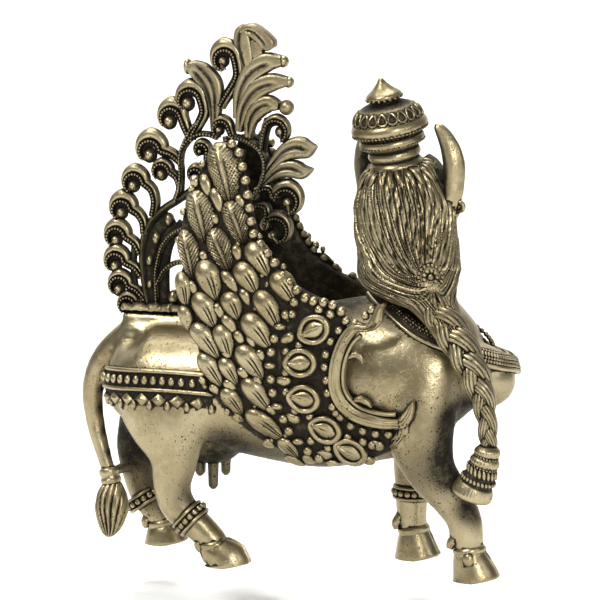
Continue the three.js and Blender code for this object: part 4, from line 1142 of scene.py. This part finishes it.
def hair_tassel(cow):
    """Two ticked rolls, a dark collar of ovals, a row of beads, and a flared bell with fine ticks."""
    outline = np.array(TASSEL)
    line = smooth(np.array(TASSEL_LINE), np.linspace(0, 1, 60))
    lengths = np.r_[0, np.cumsum(np.linalg.norm(np.diff(line, axis=0), axis=1))]
    steps = np.linspace(0, 1, 62)
    down, radius = smooth(np.c_[outline[:, :2], 0 * outline[:, 0]], steps)[:, :2].T
    black = np.interp(steps, np.linspace(0, 1, len(outline)), outline[:, 2])

    def spot(length):
        return np.stack([np.interp(length, lengths, line[:, k]) for k in range(3)], -1)

    beyond = unit(line[-1] - line[-3]) * np.maximum(0, down - lengths[-1])[:, None]
    places = spot(np.minimum(down, lengths[-1] - 0.01)) + beyond
    sides = 108

    def ticks(turn, share):
        length = np.interp(share, steps, down)
        rolls = 0.07 * (dip(length, 1.8, 0.8) + dip(length, 4.6, 0.8)) * (1 - np.abs(np.cos(13 * turn)))
        bell = 0.045 * np.clip((length - 11.2) * 2, 0, 1) * (1 - np.abs(np.cos(18 * turn)))
        return 1 - rolls - bell

    cow.add(tube(np.c_[places, radius], sides, 1, swell=ticks), black=np.repeat(black, sides))
    axis = unit(line[-1] - line[0])
    side = unit(np.cross(axis, UP))
    front = np.cross(axis, side)

    def round_tassel(length, reach, turn):
        return spot(length) + reach * (math.cos(turn) * side + math.sin(turn) * front)

    for length, reach, number, size in TASSEL_BEADS:
        bead_ring(cow, lambda turn: round_tassel(length, reach, turn), number, size, 0.05)


# The fan
SEAT = {"back": -50.6, "front": -13.0, "top": 67.9}
FAN_FLAT = 2.05


def cloud(value, seed):
    """A slow, repeatable wander between -1 and 1."""
    waves = ((1.7, 1.0, 0.5), (3.9, 2.3, 0.3), (8.3, 4.1, 0.2))
    return sum(depth * np.sin(pace * value + shift * seed) for pace, shift, depth in waves)


def in_fan(line, half, flat, sides=12):
    """A bar along a line of the fan, with its half width and half thickness at each point."""
    rows = np.c_[line[:, 0], 0 * line[:, 0], line[:, 1], flat + 0 * line[:, 0], half + 0 * line[:, 0]]
    return tube(rows, sides, 1)


def dark_edges(sides, rings, depth):
    """Black along both edges of a bar of the fan."""
    return np.tile(depth * dip(np.cos(laps(sides)), 0, 0.6), rings)


def fan_line(points, steps=6):
    return smooth(np.array(points, float), np.linspace(0, 1, steps * (len(points) - 1) + 1))


def bead_line(fan, line, every=0.8, size=0.32, proud=FAN_FLAT + 0.12):
    """A thin rib with tiny beads in a row on both faces."""
    fan.add(in_fan(line, 0.34, proud - 0.05, 8), 0.25)
    lengths = np.r_[0, np.cumsum(np.linalg.norm(np.diff(line, axis=0), axis=1))]
    marks = np.linspace(0, lengths[-1], max(2, int(lengths[-1] / every)))
    for x, z in zip(np.interp(marks, lengths, line[:, 0]), np.interp(marks, lengths, line[:, 1])):
        for face in (-proud, proud):
            fan.add(ball((x, face, z), size, 6, 4))


def beaded_stem(fan, points, half):
    line = fan_line(points)
    fan.add(in_fan(line, half, FAN_FLAT - 0.3), 0.55)
    bead_line(fan, line)


def frond(fan, stalk, centre, reach, broad, bud, bud_size, sweep=228, sign=1):
    """A roll of metal springs from a stalk, curls over and ends in a bud. A line of beads runs inside it."""
    start = 0 if sign > 0 else 180
    turns = np.radians(start + sign * np.linspace(8, sweep, 9))
    arc = [(centre[0] + reach * math.cos(t), centre[1] + reach * math.sin(t)) for t in turns]
    points = [*stalk, *arc]
    line = fan_line(points, 5)
    place = np.linspace(0, 1, len(line)) * (len(points) - 1) - len(stalk)
    share = np.interp(place, [-len(stalk), 0, 3, 5.5, 8], [0.3, 0.55, 1.0, 0.45, 0.12])
    half = 1.12 * broad * share
    ahead = unit(np.gradient(line, axis=0))
    outward = np.stack([ahead[:, 1], -ahead[:, 0]], -1) * sign
    roll = in_fan(line + outward * (half + 0.2)[:, None], half + 0.12, FAN_FLAT * (0.72 + 0.28 * share), 16)
    fan.add(roll, dark_edges(16, len(line), 0.6))
    # A black bar just inside the roll: painted shade under the roll's edge.
    fan.add(in_fan(line - 0.75 * outward, 0.5 + 0.35 * half, 1.1, 8), 1.0)
    bead_line(fan, line)
    fan.add(ball((bud[0], 0, bud[1]), (bud_size * 1.35, 1.2, bud_size * 1.35), 14, 8), 1.0)
    fan.add(ball((bud[0], 0, bud[1]), (bud_size, FAN_FLAT, bud_size), 16, 12))
    tip = np.array([line[-1], (line[-1] + np.array(bud)) / 2, bud])
    fan.add(in_fan(fan_line(tip, 3), 0.45 * bud_size, FAN_FLAT - 0.15, 10))


def leaf(fan, points, halves, grooves, full=1.0, brown=0.0):
    """A broad lobe with deep black grooves that run together at its root."""
    rows = [[x, 0, z, FAN_FLAT * full * (0.7 + 0.3 * min(1, h / 2)), h] for (x, z), h in zip(points, halves)]
    sides, steps = 60, 7

    def cut(turn, share):
        across = np.sin(turn) - 0.14 * np.sin(5 * share)
        lines = sum((dip(across, place, 0.24) for place in grooves), 0 * turn)
        return np.minimum(lines, 1) * np.clip((0.86 - share) * 7, 0, 1) * np.clip(share * 9, 0, 1)

    def carve(turn, share):
        square = (np.cos(turn) ** 4 + np.sin(turn) ** 4) ** -0.25
        return square * (1 - 0.25 * cut(turn, share) * np.abs(np.cos(turn)))

    rings = steps * (len(rows) - 1) + 1
    groove = cut(laps(sides)[None], np.linspace(0, 1, rings)[:, None])
    black = (groove + brown * (1 - groove)).ravel()
    black = np.where(black < 0, black, np.maximum(black, dark_edges(sides, rings, 1.0)))
    fan.add(tube(rows, sides, steps, swell=carve), black)


MAIN_STEM = [
    (-43.0, 68.4), (-44.2, 73.7), (-45.0, 80.0), (-45.1, 85.5), (-44.2, 89.7), (-42.0, 93.6),
    (-38.7, 96.6), (-35.1, 98.9), (-31.2, 101.6), (-27.4, 104.6),
]
# Each rim frond: its stalk, then the bead arc's centre and radius, the roll's half width, and the bud's
# place and size.
RIM_FRONDS = [
    ([(-30.3, 117.4), (-28.5, 120.6), (-27.3, 123.6)], (-31.0, 126.4), 3.0, 1.4, (-32.1, 125.8), 1.75),
    ([(-30.5, 115.7), (-32.0, 118.1)], (-36.4, 121.5), 2.8, 1.4, (-37.3, 120.7), 1.75),
    ([(-33.9, 109.6), (-36.4, 111.6)], (-42.5, 112.3), 2.95, 1.55, (-43.0, 111.3), 1.7),
    ([(-35.2, 98.9), (-34.1, 102.4), (-35.0, 105.4)], (-39.2, 106.7), 2.25, 0.75, (-39.6, 106.1), 1.45),
    ([(-42.0, 94.3), (-41.4, 98.6), (-42.4, 101.8)], (-47.2, 103.3), 2.65, 1.25, (-47.8, 102.7), 1.55),
    ([(-44.5, 89.4), (-44.9, 92.8), (-46.4, 95.0)], (-50.8, 95.8), 2.6, 1.4, (-51.3, 95.1), 1.55),
    ([(-45.6, 83.6), (-47.2, 86.6)], (-52.5, 88.2), 2.55, 1.3, (-52.9, 87.4), 1.5),
    ([(-45.2, 77.4), (-47.2, 79.8)], (-52.7, 81.1), 2.55, 1.25, (-53.2, 80.2), 1.5),
    ([(-44.5, 71.2), (-46.4, 73.4)], (-51.7, 74.6), 2.5, 1.05, (-52.2, 73.6), 1.5),
    ([(-43.6, 69.6), (-45.4, 70.4)], (-49.3, 69.2), 2.3, 0.85, (-49.8, 68.9), 1.3),
]


def ledge(fan):
    """The fan's foot: a rough bar that was trimmed by hand."""
    foot = SEAT["top"] + 0.3
    places = np.linspace(SEAT["back"] - 0.8, SEAT["front"], 70)
    rings = []
    for i, x in enumerate(places):
        end = math.sqrt(max(0.02, 1 - (2 * i / (len(places) - 1) - 1) ** 24))
        half = (3.7 + 0.45 * cloud(0.9 * x, 2.0)) * end
        high = foot + (1.9 + 0.55 * cloud(0.8 * x, 1.0)) * end
        low = foot + 0.25 * (1 + cloud(1.3 * x, 3.0)) * end
        middle = (low + high) / 2
        near = [(-1, low), (-1.04, middle), (-0.8, high), (0, high + 0.2)]
        far = [(0.8, high), (1.04, middle), (1, low), (0, foot)]
        rings.append([(x, half * y, z) for y, z in near + far])
    fan.add(wrapped(np.array(rings)), -0.3)


# The other fronds, with their sweep in degrees too, and -1 where they curl the other way.
INNER_FRONDS = [
    ([(-26.8, 102.7)], (-29.4, 106.1), 1.7, 0.7, (-30.0, 105.8), 0.9, 250),
    ([(-26.3, 108.8)], (-27.7, 113.0), 1.6, 0.7, (-28.3, 112.7), 0.9, 240),
    ([(-22.4, 125), (-21.4, 127.0), (-19.2, 130.4), (-17.6, 133.6)], (-20.9, 137.8), 2.75, 1.5,
     (-21.8, 137.6), 1.45, 250),
    ([(-18.8, 116.8)], (-22.0, 118.9), 2.2, 0.8, (-22.9, 118.7), 1.2, 235),
    ([(-10.8, 112.8), (-10.3, 116)], (-6.6, 118.6), 3.1, 0.75, (-5.4, 118.6), 1.3, 235, -1),
    ([(-12.4, 102.0), (-8.5, 102.9)], (-3.6, 99.6), 3.2, 1.35, (-3.4, 99.4), 1.4, 250, -1),
    ([(-13.6, 98.2), (-9.4, 97.7)], (-6.6, 91.6), 3.3, 0.95, (-7.6, 90.4), 1.25, 255, -1),
]
# The black webs between the bars, with their half widths.
WEBS = [
    ([(-42.4, 69.2), (-43.2, 76), (-43.2, 84), (-41.4, 90), (-37, 94.6)], 2.1),
    ([(-39.2, 69.4), (-39.6, 76), (-39.2, 83), (-37.8, 88), (-34.6, 92)], 2.2),
    ([(-36.0, 88.6), (-33.0, 92.6)], 2.0),
    ([(-46.6, 70.4), (-47.6, 76), (-47.8, 82), (-47.4, 88)], 1.0),
    ([(-30, 100), (-24, 103), (-20, 108), (-18, 114)], 3.0),
    ([(-33.6, 70), (-29, 84), (-26, 100)], 3.4),
    ([(-22, 70), (-21, 90), (-20, 108)], 3.4),
]
# The beaded stems, with their half widths.
STEMS = [
    ([(-40.7, 68.9), (-40.9, 73.8), (-41.0, 78.2), (-40.3, 82.4), (-39.0, 86.4), (-36.6, 89.4),
      (-32, 92)], 0.9),
    ([(-40.6, 75.9), (-38.6, 79.6), (-35.6, 81.6), (-30, 82)], 0.8),
    ([(-35.2, 99.4), (-34.0, 102.8), (-33.8, 107), (-34.0, 110.4), (-33.0, 114.2), (-30.4, 119),
      (-28.5, 120.8)], 0.9),
    ([(-33.4, 113.2), (-31.2, 116), (-28.6, 117.4), (-25.6, 117.4), (-23.4, 116.6)], 0.9),
    ([(-19.4, 117.0), (-16.9, 116.6), (-13.5, 115.4), (-11.0, 113.5), (-9.8, 110.8), (-9.7, 107.4),
      (-10.6, 104.4), (-13, 100), (-17, 95)], 1.0),
    ([(-20.4, 69), (-20, 85), (-19.6, 100), (-20, 110), (-20.5, 117)], 1.5),
]
# The small drops on the webs, with their sizes.
DROPS = [
    ((-37.3, 93.6), 1.5), ((-41.0, 88.4), 1.55), ((-42.9, 82.0), 1.35), ((-36.2, 71.8), 1.9),
    ((-42.8, 75.4), 1.2),
]
# Each leaf: its line, its half widths, its grooves' places across, how full it is, and its brown.
LEAVES = [
    ([(-24.3, 119), (-24.0, 124), (-24.2, 128.4), (-25.4, 131.6), (-27.8, 134.2), (-30.2, 135.6),
      (-31.4, 136.0)], [0.9, 1.7, 2.6, 3.2, 3.0, 2.2, 1.4], (-0.3, 0.42)),
    ([(-14.6, 134), (-14.8, 138), (-15.8, 142), (-16.0, 145.4), (-15.2, 147.2)],
     [1.0, 2.2, 2.7, 2.3, 1.2], (0.35,)),
    ([(-14.0, 136.6), (-13.0, 140.0), (-11.4, 142.2), (-9.6, 142.4)], [1.4, 2.6, 2.6, 1.6], (), 0.85, -0.4),
    ([(-16.4, 145.6), (-13.6, 146.2), (-11.0, 144.7), (-8.8, 142.6), (-8.0, 141.2)],
     [1.3, 2.0, 2.1, 2.2, 1.5], (-0.3,), 1.1, -0.5),
    ([(-17.8, 122), (-16.6, 129.6), (-13.9, 134.4), (-9.6, 137.4), (-5.0, 138.0)],
     [1.0, 2.0, 2.8, 2.8, 1.5], (-0.2,)),
    ([(-17.2, 118.5), (-15.6, 125.2), (-12.4, 129.8), (-8.0, 132.0), (-3.2, 132.4)],
     [1.0, 2.0, 2.8, 2.6, 1.3], (-0.15,)),
    ([(-14.6, 116.5), (-13.6, 121.8), (-11.6, 124.8), (-8.8, 126.2), (-5.8, 125.8)],
     [0.9, 1.9, 2.6, 2.5, 1.3], (-0.1,)),
    ([(-10.6, 105.6), (-7.0, 110.2), (-3.8, 113.2), (-0.6, 114.4), (2.2, 114.3), (4.6, 114.8)],
     [0.7, 1.5, 2.5, 3.1, 2.7, 0.5], (0.0,)),
    ([(-10.8, 103.6), (-7.8, 106.4), (-4.8, 108.2), (-1.8, 108.6), (0.8, 108.0), (3.6, 108.6)],
     [0.6, 1.3, 2.2, 2.5, 2.2, 0.4], (0.0,)),
]
# The round ends of leaves and the big bud: place, half sizes, sides, rings and brown.
LEAF_ENDS = [
    ((-31.9, 0, 135.9), (1.15, FAN_FLAT + 0.1, 2.2), 16, 10, -0.3),
    ((-4.8, 0, 137.8), (1.7, FAN_FLAT * 0.9, 1.7), 14, 10, -0.15),
    ((-3.2, 0, 132.2), (1.6, FAN_FLAT * 0.9, 1.6), 14, 10, -0.15),
    ((-3.8, 0, 125.3), (2.15, FAN_FLAT + 0.1, 2.15), 18, 12, -0.4),
]
EYE_SIDES = ([(-13.1, 117.6), (-13.3, 119.8), (-11.3, 121.9)], [(-10.9, 118), (-10.2, 120), (-9.6, 122.3)])


def peacock_fan():
    fan = Casting()
    ledge(fan)
    fan.add(in_fan(fan_line(MAIN_STEM), 1.15, 1.5), 0.9)
    fan.add(in_fan(fan_line(MAIN_STEM), 0.6, FAN_FLAT))
    for points, half in WEBS:
        fan.add(in_fan(fan_line(points), half, 0.9), 1.0)
    for points, half in STEMS:
        beaded_stem(fan, points, half)
    for (x, z), size in DROPS:
        fan.add(ball((x, 0, z), (size * 0.85, FAN_FLAT, size * 1.25), 14, 10))
    for row in RIM_FRONDS + INNER_FRONDS:
        frond(fan, *row)
    for row in LEAVES:
        leaf(fan, *row)
    for place, half, sides, rings, brown in LEAF_ENDS:
        fan.add(ball(place, half, sides, rings), brown)
    for points in EYE_SIDES:
        fan.add(in_fan(fan_line(points), 0.4, 1.6), 0.4)
    return fan


# Stains and painted shade on the skin: place, radius, and black, or brown below zero. The brown lies at the
# tail root, on the rump and on the far foreleg, and the withers and a patch low on the near hind leg are
# darker. The rest is painted shade: a stripe down the tail's right side, the near foreleg beside the plait
# and tassel and behind its knee, the far hind leg, and the belly's underside with the udder.
STAINS_AND_SHADE = [
    ((14, -4, 72), 12, 0.9), ((-56, 0, 56.5), 6, -0.8), ((-30, -8, 62), 9, -0.25),
    ((-56.1, -1, 46), 2.3, 1.1), ((-56.5, -1, 40), 2.2, 1.1), ((-55.4, -1, 34), 2.1, 1.1),
    ((-53.8, -2, 28), 2.0, 1.0), ((46.5, -14, 43), 4, 0.9), ((45.5, -15, 35), 3.6, 0.9),
    ((46, -16, 28.7), 3.6, 0.8), ((50.4, -16, 19.8), 3.4, 0.8), ((49, -9, 42), 9.5, 1.1),
    ((46, -10, 32), 7, 0.8), ((39, -17, 30), 8, 0.42), ((54.7, -16, 18), 3.8, 0.75),
    ((-50, 9, 29), 9.5, 1.2), ((-46, 9, 14), 5, 0.6), ((-46, 8, 42), 8, 0.7), ((-25, -2, 27), 9.5, 1.3),
    ((30, 10, 27), 8, -0.9), ((22, 0, 38), 13, 0.6), ((-17, -13, 34), 6, 0.6), ((-8, -10, 30), 9, 0.6),
    ((8, -9, 27), 8, 0.6), ((-27, -16, 19), 5, 0.5),
]


def stained_and_shaded(points):
    """The stains and painted shade at each point of the skin, one over another."""
    black = np.zeros(len(points))
    for place, radius, depth in STAINS_AND_SHADE:
        black += depth * dip(np.linalg.norm(points - place, axis=1), 0, radius)
    return np.clip(black, -1, 1)


def cow_castings():
    """The cow is one casting, kept here as three meshes: the body, the wings, and the head with the hair."""
    body, wing, head = Casting(), Casting(), Casting()
    skin = body_skin()
    body.add(skin, stained_and_shaded(skin[0]))
    dress_legs(body)
    tail_tassel(body)
    rump_band(body, skin)
    collar_band(body)
    wings(wing)
    head.add(face_shape())
    for dress in (crown, horns, hair, clip, plait, hair_tassel):
        dress(head)
    return {"cow_body": body, "cow_wings": wing, "cow_head": head}


# The finish: olive-gold brass, black in the hollows, brown stains, small black pits, and painted shade:
# darker in broad recesses, between parts and on the undersides
# The turn from each direction to the next, which spreads them evenly.
GOLDEN_TURN = 2.39996


def rays():
    """Directions over a half sphere round +Z, closer together near its top."""
    number = 18
    lift = np.sqrt(1 - (np.arange(number) + 0.5) / number)
    turn = np.arange(number) * GOLDEN_TURN
    reach = np.sqrt(1 - lift**2)
    return np.stack([reach * np.cos(turn), reach * np.sin(turn), lift], -1)


# How far the metal round a point is looked for, and how near it counts as tight.
HOLLOW_REACH = 7.0
TIGHT_REACH = 1.5


def hollows(points, normals, tree):
    """For each point, how closed in it is by metal nearby: the share of it that is tight, and all of it."""
    side = unit(np.cross(normals, np.where(np.abs(normals[:, 2:]) > 0.9, [[1.0, 0, 0]], [[0, 0, 1.0]])))
    other = np.cross(normals, side)
    starts = (points + normals * 0.06).tolist()
    tight, wide = np.zeros(len(points)), np.zeros(len(points))
    ways = rays()
    for a, b, c in ways:
        way_of_each = (side * a + other * b + normals * c).tolist()
        hits = [tree.ray_cast(start, way, HOLLOW_REACH)[3] for start, way in zip(starts, way_of_each)]
        far = np.array([HOLLOW_REACH if hit is None else hit for hit in hits])
        tight += far < TIGHT_REACH
        wide += 1 - far / HOLLOW_REACH
    return tight / len(ways), wide / len(ways)


def mesh_of(name, casting):
    mesh = bpy.data.meshes.new(name)
    points = np.vstack(casting.points)
    mesh.from_pydata(((points + DATUM) * MM).tolist(), [], casting.faces)
    work = bmesh.new()
    work.from_mesh(mesh)
    bmesh.ops.recalc_face_normals(work, faces=work.faces)
    work.to_mesh(mesh)
    work.free()
    mesh.update()
    return mesh, points, values_of(mesh.vertex_normals, "vector", float, 3)


def metal_tree(castings):
    """All the metal in one search tree."""
    points, faces, count = [], [], 0
    for casting in castings:
        points += casting.points
        faces += [[v + count for v in face] for face in casting.faces]
        count += casting.count
    return BVHTree.FromPolygons(np.vstack(points).tolist(), faces)


def cast(name, casting, node, finish, tree):
    mesh, points, normals = mesh_of(name, casting)
    mesh.shade_smooth()
    mesh.set_sharp_from_angle(angle=math.radians(52))
    # tight and wide are baked occlusion: the finish turns them into black patina in tight hollows and painted
    # shade in broad recesses.
    tight, wide = hollows(points, normals, tree)
    for key, values in (("tight", tight), ("wide", wide), ("black", np.concatenate(casting.black))):
        mesh.attributes.new(key, "FLOAT", "POINT").data.foreach_set("value", values.astype(np.float32))
    mesh.materials.append(finish)
    piece = bpy.data.objects.new(name, mesh)
    bpy.context.scene.collection.objects.link(piece)
    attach(piece, "root")
    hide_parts(node)


class Level:
    """A number that varies over a surface. Sums and products of it add Math nodes."""

    def __init__(self, finish, socket):
        self.finish, self.socket = finish, socket

    def math(self, operation, *others):
        node = self.finish.node("Math", {"operation": operation}, dict(enumerate((self, *others))))
        return Level(self.finish, node.outputs[0])

    def __add__(self, other):
        return self.math("ADD", other)

    __radd__ = __add__

    def __sub__(self, other):
        return self.math("SUBTRACT", other)

    def __rsub__(self, other):
        return self.math("MULTIPLY_ADD", -1.0, other)

    def __mul__(self, other):
        return self.math("MULTIPLY", other)

    __rmul__ = __mul__

    def held(self):
        return self.math("MAXIMUM", 0.0).math("MINIMUM", 1.0)

    def step(self, low, high):
        """0 below low and 1 above high, eased between."""
        ends = {"Value": self, "From Min": low, "From Max": high}
        node = self.finish.node("MapRange", {"interpolation_type": "SMOOTHSTEP"}, ends)
        return Level(self.finish, node.outputs[0])


class Finish:
    """One material and its nodes."""

    def __init__(self, name):
        self.material = bpy.data.materials.new(name)
        self.material.use_nodes = True
        self.tree = self.material.node_tree
        self.shader = self.tree.nodes["Principled BSDF"]

    def feed(self, socket, value):
        if isinstance(value, Level):
            value = value.socket
        if isinstance(value, bpy.types.NodeSocket):
            self.tree.links.new(value, socket)
        else:
            socket.default_value = value

    def node(self, kind, settings=(), sockets=()):
        node = self.tree.nodes.new("ShaderNode" + kind)
        for key, value in dict(settings).items():
            setattr(node, key, value)
        for key, value in dict(sockets).items():
            self.feed(node.inputs[key], value)
        return node

    def painted(self, name):
        node = self.node("Attribute", {"attribute_type": "GEOMETRY", "attribute_name": name})
        return Level(self, node.outputs["Fac"])

    def noise(self, place, scale, detail=2.0, rough=0.5):
        sockets = {"Vector": place, "Scale": scale, "Detail": detail, "Roughness": rough}
        node = self.node("TexNoise", {}, sockets)
        return Level(self, node.outputs["Fac"])

    def pits(self, place, scale):
        node = self.node("TexVoronoi", {"feature": "F1"}, {"Vector": place, "Scale": scale})
        return Level(self, node.outputs["Distance"])

    def mix(self, share, first, second):
        node = self.node("Mix", {"data_type": "RGBA"}, {0: share, 6: first, 7: second})
        return node.outputs[2]

    def bump(self, height, strength, distance, under=None):
        sockets = {"Height": height, "Strength": strength, "Distance": distance}
        if under is not None:
            sockets["Normal"] = under
        return self.node("Bump", {}, sockets).outputs["Normal"]


DEEP_BRASS = (0.29, 0.235, 0.128, 1)
PALE_BRASS = (0.43, 0.365, 0.222, 1)
WORN_BRASS = (0.5, 0.44, 0.29, 1)
# Brown for the stains, and for the shade painted on undersides and in broad recesses.
STAIN_AND_SHADE_BROWN = (0.19, 0.125, 0.052, 1)
RED_BROWN = (0.16, 0.105, 0.055, 1)
# Black for the blacking in the hollows and for the painted shade.
BLACKING_AND_SHADE = (0.012, 0.010, 0.0072, 1)


def antique_brass():
    """Olive brass worn bright on the high places, brown in patches, black in the hollows and the pits, with
    painted shade in broad recesses and on the undersides.
    """
    brass = Finish("antique_brass")
    place = brass.node("TexCoord").outputs["Object"]
    facing = brass.node("SeparateXYZ", {}, {0: brass.node("NewGeometry").outputs["Normal"]})
    # under is 1 on faces turned down. It darkens the patina, the pits and the brown patches there: painted
    # shade on the undersides.
    under = 1 - Level(brass, facing.outputs["Z"]).step(-0.95, 0.1)
    tight, wide, black = (brass.painted(name) for name in ("tight", "wide", "black"))
    broad = brass.noise(place, 34.0)
    blotch, mottle, grit = (brass.noise(place, scale, 3.0, 0.6) for scale in (105.0, 400.0, 1500.0))
    # Black patina in the tight hollows, and painted shade: darker in broad recesses, between parts and on the
    # undersides.
    patina_and_shade = tight * 1.3 + wide * 1.1 + (mottle - 0.5) * 0.5 + (blotch - 0.5) * 0.45 + under * 0.25
    hollow = (patina_and_shade.step(0.38, 1.0) * 0.96 + black.step(-0.1, 1.0) * (0.6 + mottle * 0.75)).held()
    pocked = (blotch * 1.25 + wide * 0.6 + under * 0.2).step(0.6, 0.9)
    ragged = (grit - 0.5) * 0.22
    pore = 1 - (brass.pits(place, 900.0) + ragged).step(0.1, 0.25)
    fleck = 1 - (brass.pits(place, 2100.0) + ragged).step(0.12, 0.3)
    pits = ((pore + fleck * 0.8) * (pocked + 0.2 + black.held() * 0.6)).held()
    brown = (0 - black).step(0.0, 0.8)
    # Brown patches, partly stains at random and partly painted shade, more of them on the undersides and in
    # broad recesses.
    stain_and_shade = (broad * 0.75 + blotch * 0.45 + under * 0.12 + wide * 0.25).step(0.66, 0.92)
    dark = (hollow * 0.97 + pits * 0.95).held()
    tone = brass.mix(broad.step(0.34, 0.68), DEEP_BRASS, PALE_BRASS)
    tone = brass.mix(stain_and_shade * 0.7, tone, STAIN_AND_SHADE_BROWN)
    tone = brass.mix(brown * 0.85, tone, RED_BROWN)
    tone = brass.mix(mottle.step(0.42, 0.75) * 0.35, tone, WORN_BRASS)
    brass.feed(brass.shader.inputs["Base Color"], brass.mix(dark, tone, BLACKING_AND_SHADE))
    brass.feed(brass.shader.inputs["Metallic"], 0.97 - dark * 0.35 - brown * 0.12)
    rough = 0.2 + blotch * 0.18 + dark * 0.35 + brown * 0.1 + grit * 0.08
    brass.feed(brass.shader.inputs["Roughness"], rough.held())
    brass.shader.inputs["Specular IOR Level"].default_value = 0.2
    uneven = brass.bump(blotch * 0.6 + mottle * 0.4, 0.55, 0.0005)
    gritty = brass.bump(grit, 0.4, 0.00008, uneven)
    brass.feed(brass.shader.inputs["Normal"], brass.bump(1 - pits * 0.9, 0.8, 0.00016, gritty))
    return brass.material


# The studio
# The backdrop's outline: how far back and how high. It is as wide as PAPER_HALF on each side.
SWEEP = [(-3, 0), (0.7, 0), (1.0, 0.03), (1.25, 0.14), (1.4, 0.34), (1.45, 0.6), (1.45, 3.0)]
PAPER_HALF = 4
# Each light: its name, place, aim, size and power.
LIGHTS = (
    ("key_light", (-0.42, -0.75, 1.0), (0, 0, 0.075), 0.36, 10.2),
    ("front_light", (0.75, -1.25, 0.55), (0, 0, 0.08), 0.34, 9.0),
    ("side_light", (1.1, -0.5, 0.55), (0, 0, 0.075), 0.36, 1.6),
    ("top_light", (0.1, 0.25, 1.3), (0, 0, 0.05), 0.5, 6.5),
    ("paper_light", (-0.5, 0.5, 1.9), (-0.4, 1.4, 0.3), 1.6, 34.0),
)
# The camera stands about a metre off, turned towards the head and a little up.
AROUND, ABOVE = math.radians(16), math.radians(8)
# The lens's focal length in millimetres, and the height in metres that it is aimed at.
LENS = 219.4
AIM_HEIGHT = 0.0726


def paper_sweep():
    """White paper that runs from the floor up behind the cow."""
    line = smooth(np.array(SWEEP), np.linspace(0, 1, 60))
    ahead = np.array([-math.sin(AROUND), math.cos(AROUND), 0])
    across = np.array([math.cos(AROUND), math.sin(AROUND), 0])
    points = [(ahead * y + across * x + UP * z).tolist() for y, z in line for x in (-PAPER_HALF, PAPER_HALF)]
    faces = [(2 * i, 2 * i + 1, 2 * i + 3, 2 * i + 2) for i in range(len(line) - 1)]
    mesh = bpy.data.meshes.new("paper_sweep")
    mesh.from_pydata(points, [], faces)
    mesh.shade_smooth()
    paper = Finish("white_paper")
    paper.shader.inputs["Base Color"].default_value = (0.93, 0.93, 0.92, 1)
    paper.shader.inputs["Roughness"].default_value = 0.9
    paper.shader.inputs["Specular IOR Level"].default_value = 0.1
    mesh.materials.append(paper.material)
    floor = bpy.data.objects.new("paper_sweep", mesh)
    bpy.context.scene.collection.objects.link(floor)


def aimed(thing, place, way):
    """Puts a light or camera at a place, looking along a way."""
    thing.location = place
    thing.rotation_mode = "QUATERNION"
    thing.rotation_quaternion = Vector(way).to_track_quat("-Z", "Y")
    bpy.context.scene.collection.objects.link(thing)


def studio():
    scene = bpy.context.scene
    scene.view_settings.view_transform = "Standard"
    scene.world = bpy.data.worlds.new("studio_air")
    scene.world.use_nodes = True
    air = scene.world.node_tree.nodes["Background"]
    air.inputs["Color"].default_value = (1.0, 0.99, 0.97, 1)
    air.inputs["Strength"].default_value = 0.15
    paper_sweep()
    for name, place, aim, size, power in LIGHTS:
        light = bpy.data.lights.new(name, "AREA")
        light.size, light.energy = size, power
        aimed(bpy.data.objects.new(name, light), place, Vector(aim) - Vector(place))


def camera():
    back = (math.sin(AROUND) * math.cos(ABOVE), -math.cos(AROUND) * math.cos(ABOVE), math.sin(ABOVE))
    lens = bpy.data.cameras.new("camera")
    lens.sensor_width, lens.lens = 36.0, LENS
    lens.clip_start, lens.clip_end = 0.05, 20.0
    eye = bpy.data.objects.new("camera", lens)
    target = Vector((DATUM[0] * MM, DATUM[1] * MM, AIM_HEIGHT))
    aimed(eye, target + Vector(back), -Vector(back))
    bpy.context.scene.camera = eye


camera()
studio()
brass_finish = antique_brass()
cow = cow_castings()
fan = peacock_fan()
metal = metal_tree([*cow.values(), fan])
for name, casting in cow.items():
    cast(name, casting, "kamdhenu_cow", brass_finish, metal)
cast("peacock_fan", fan, "peacock_tail_fan", brass_finish, metal)
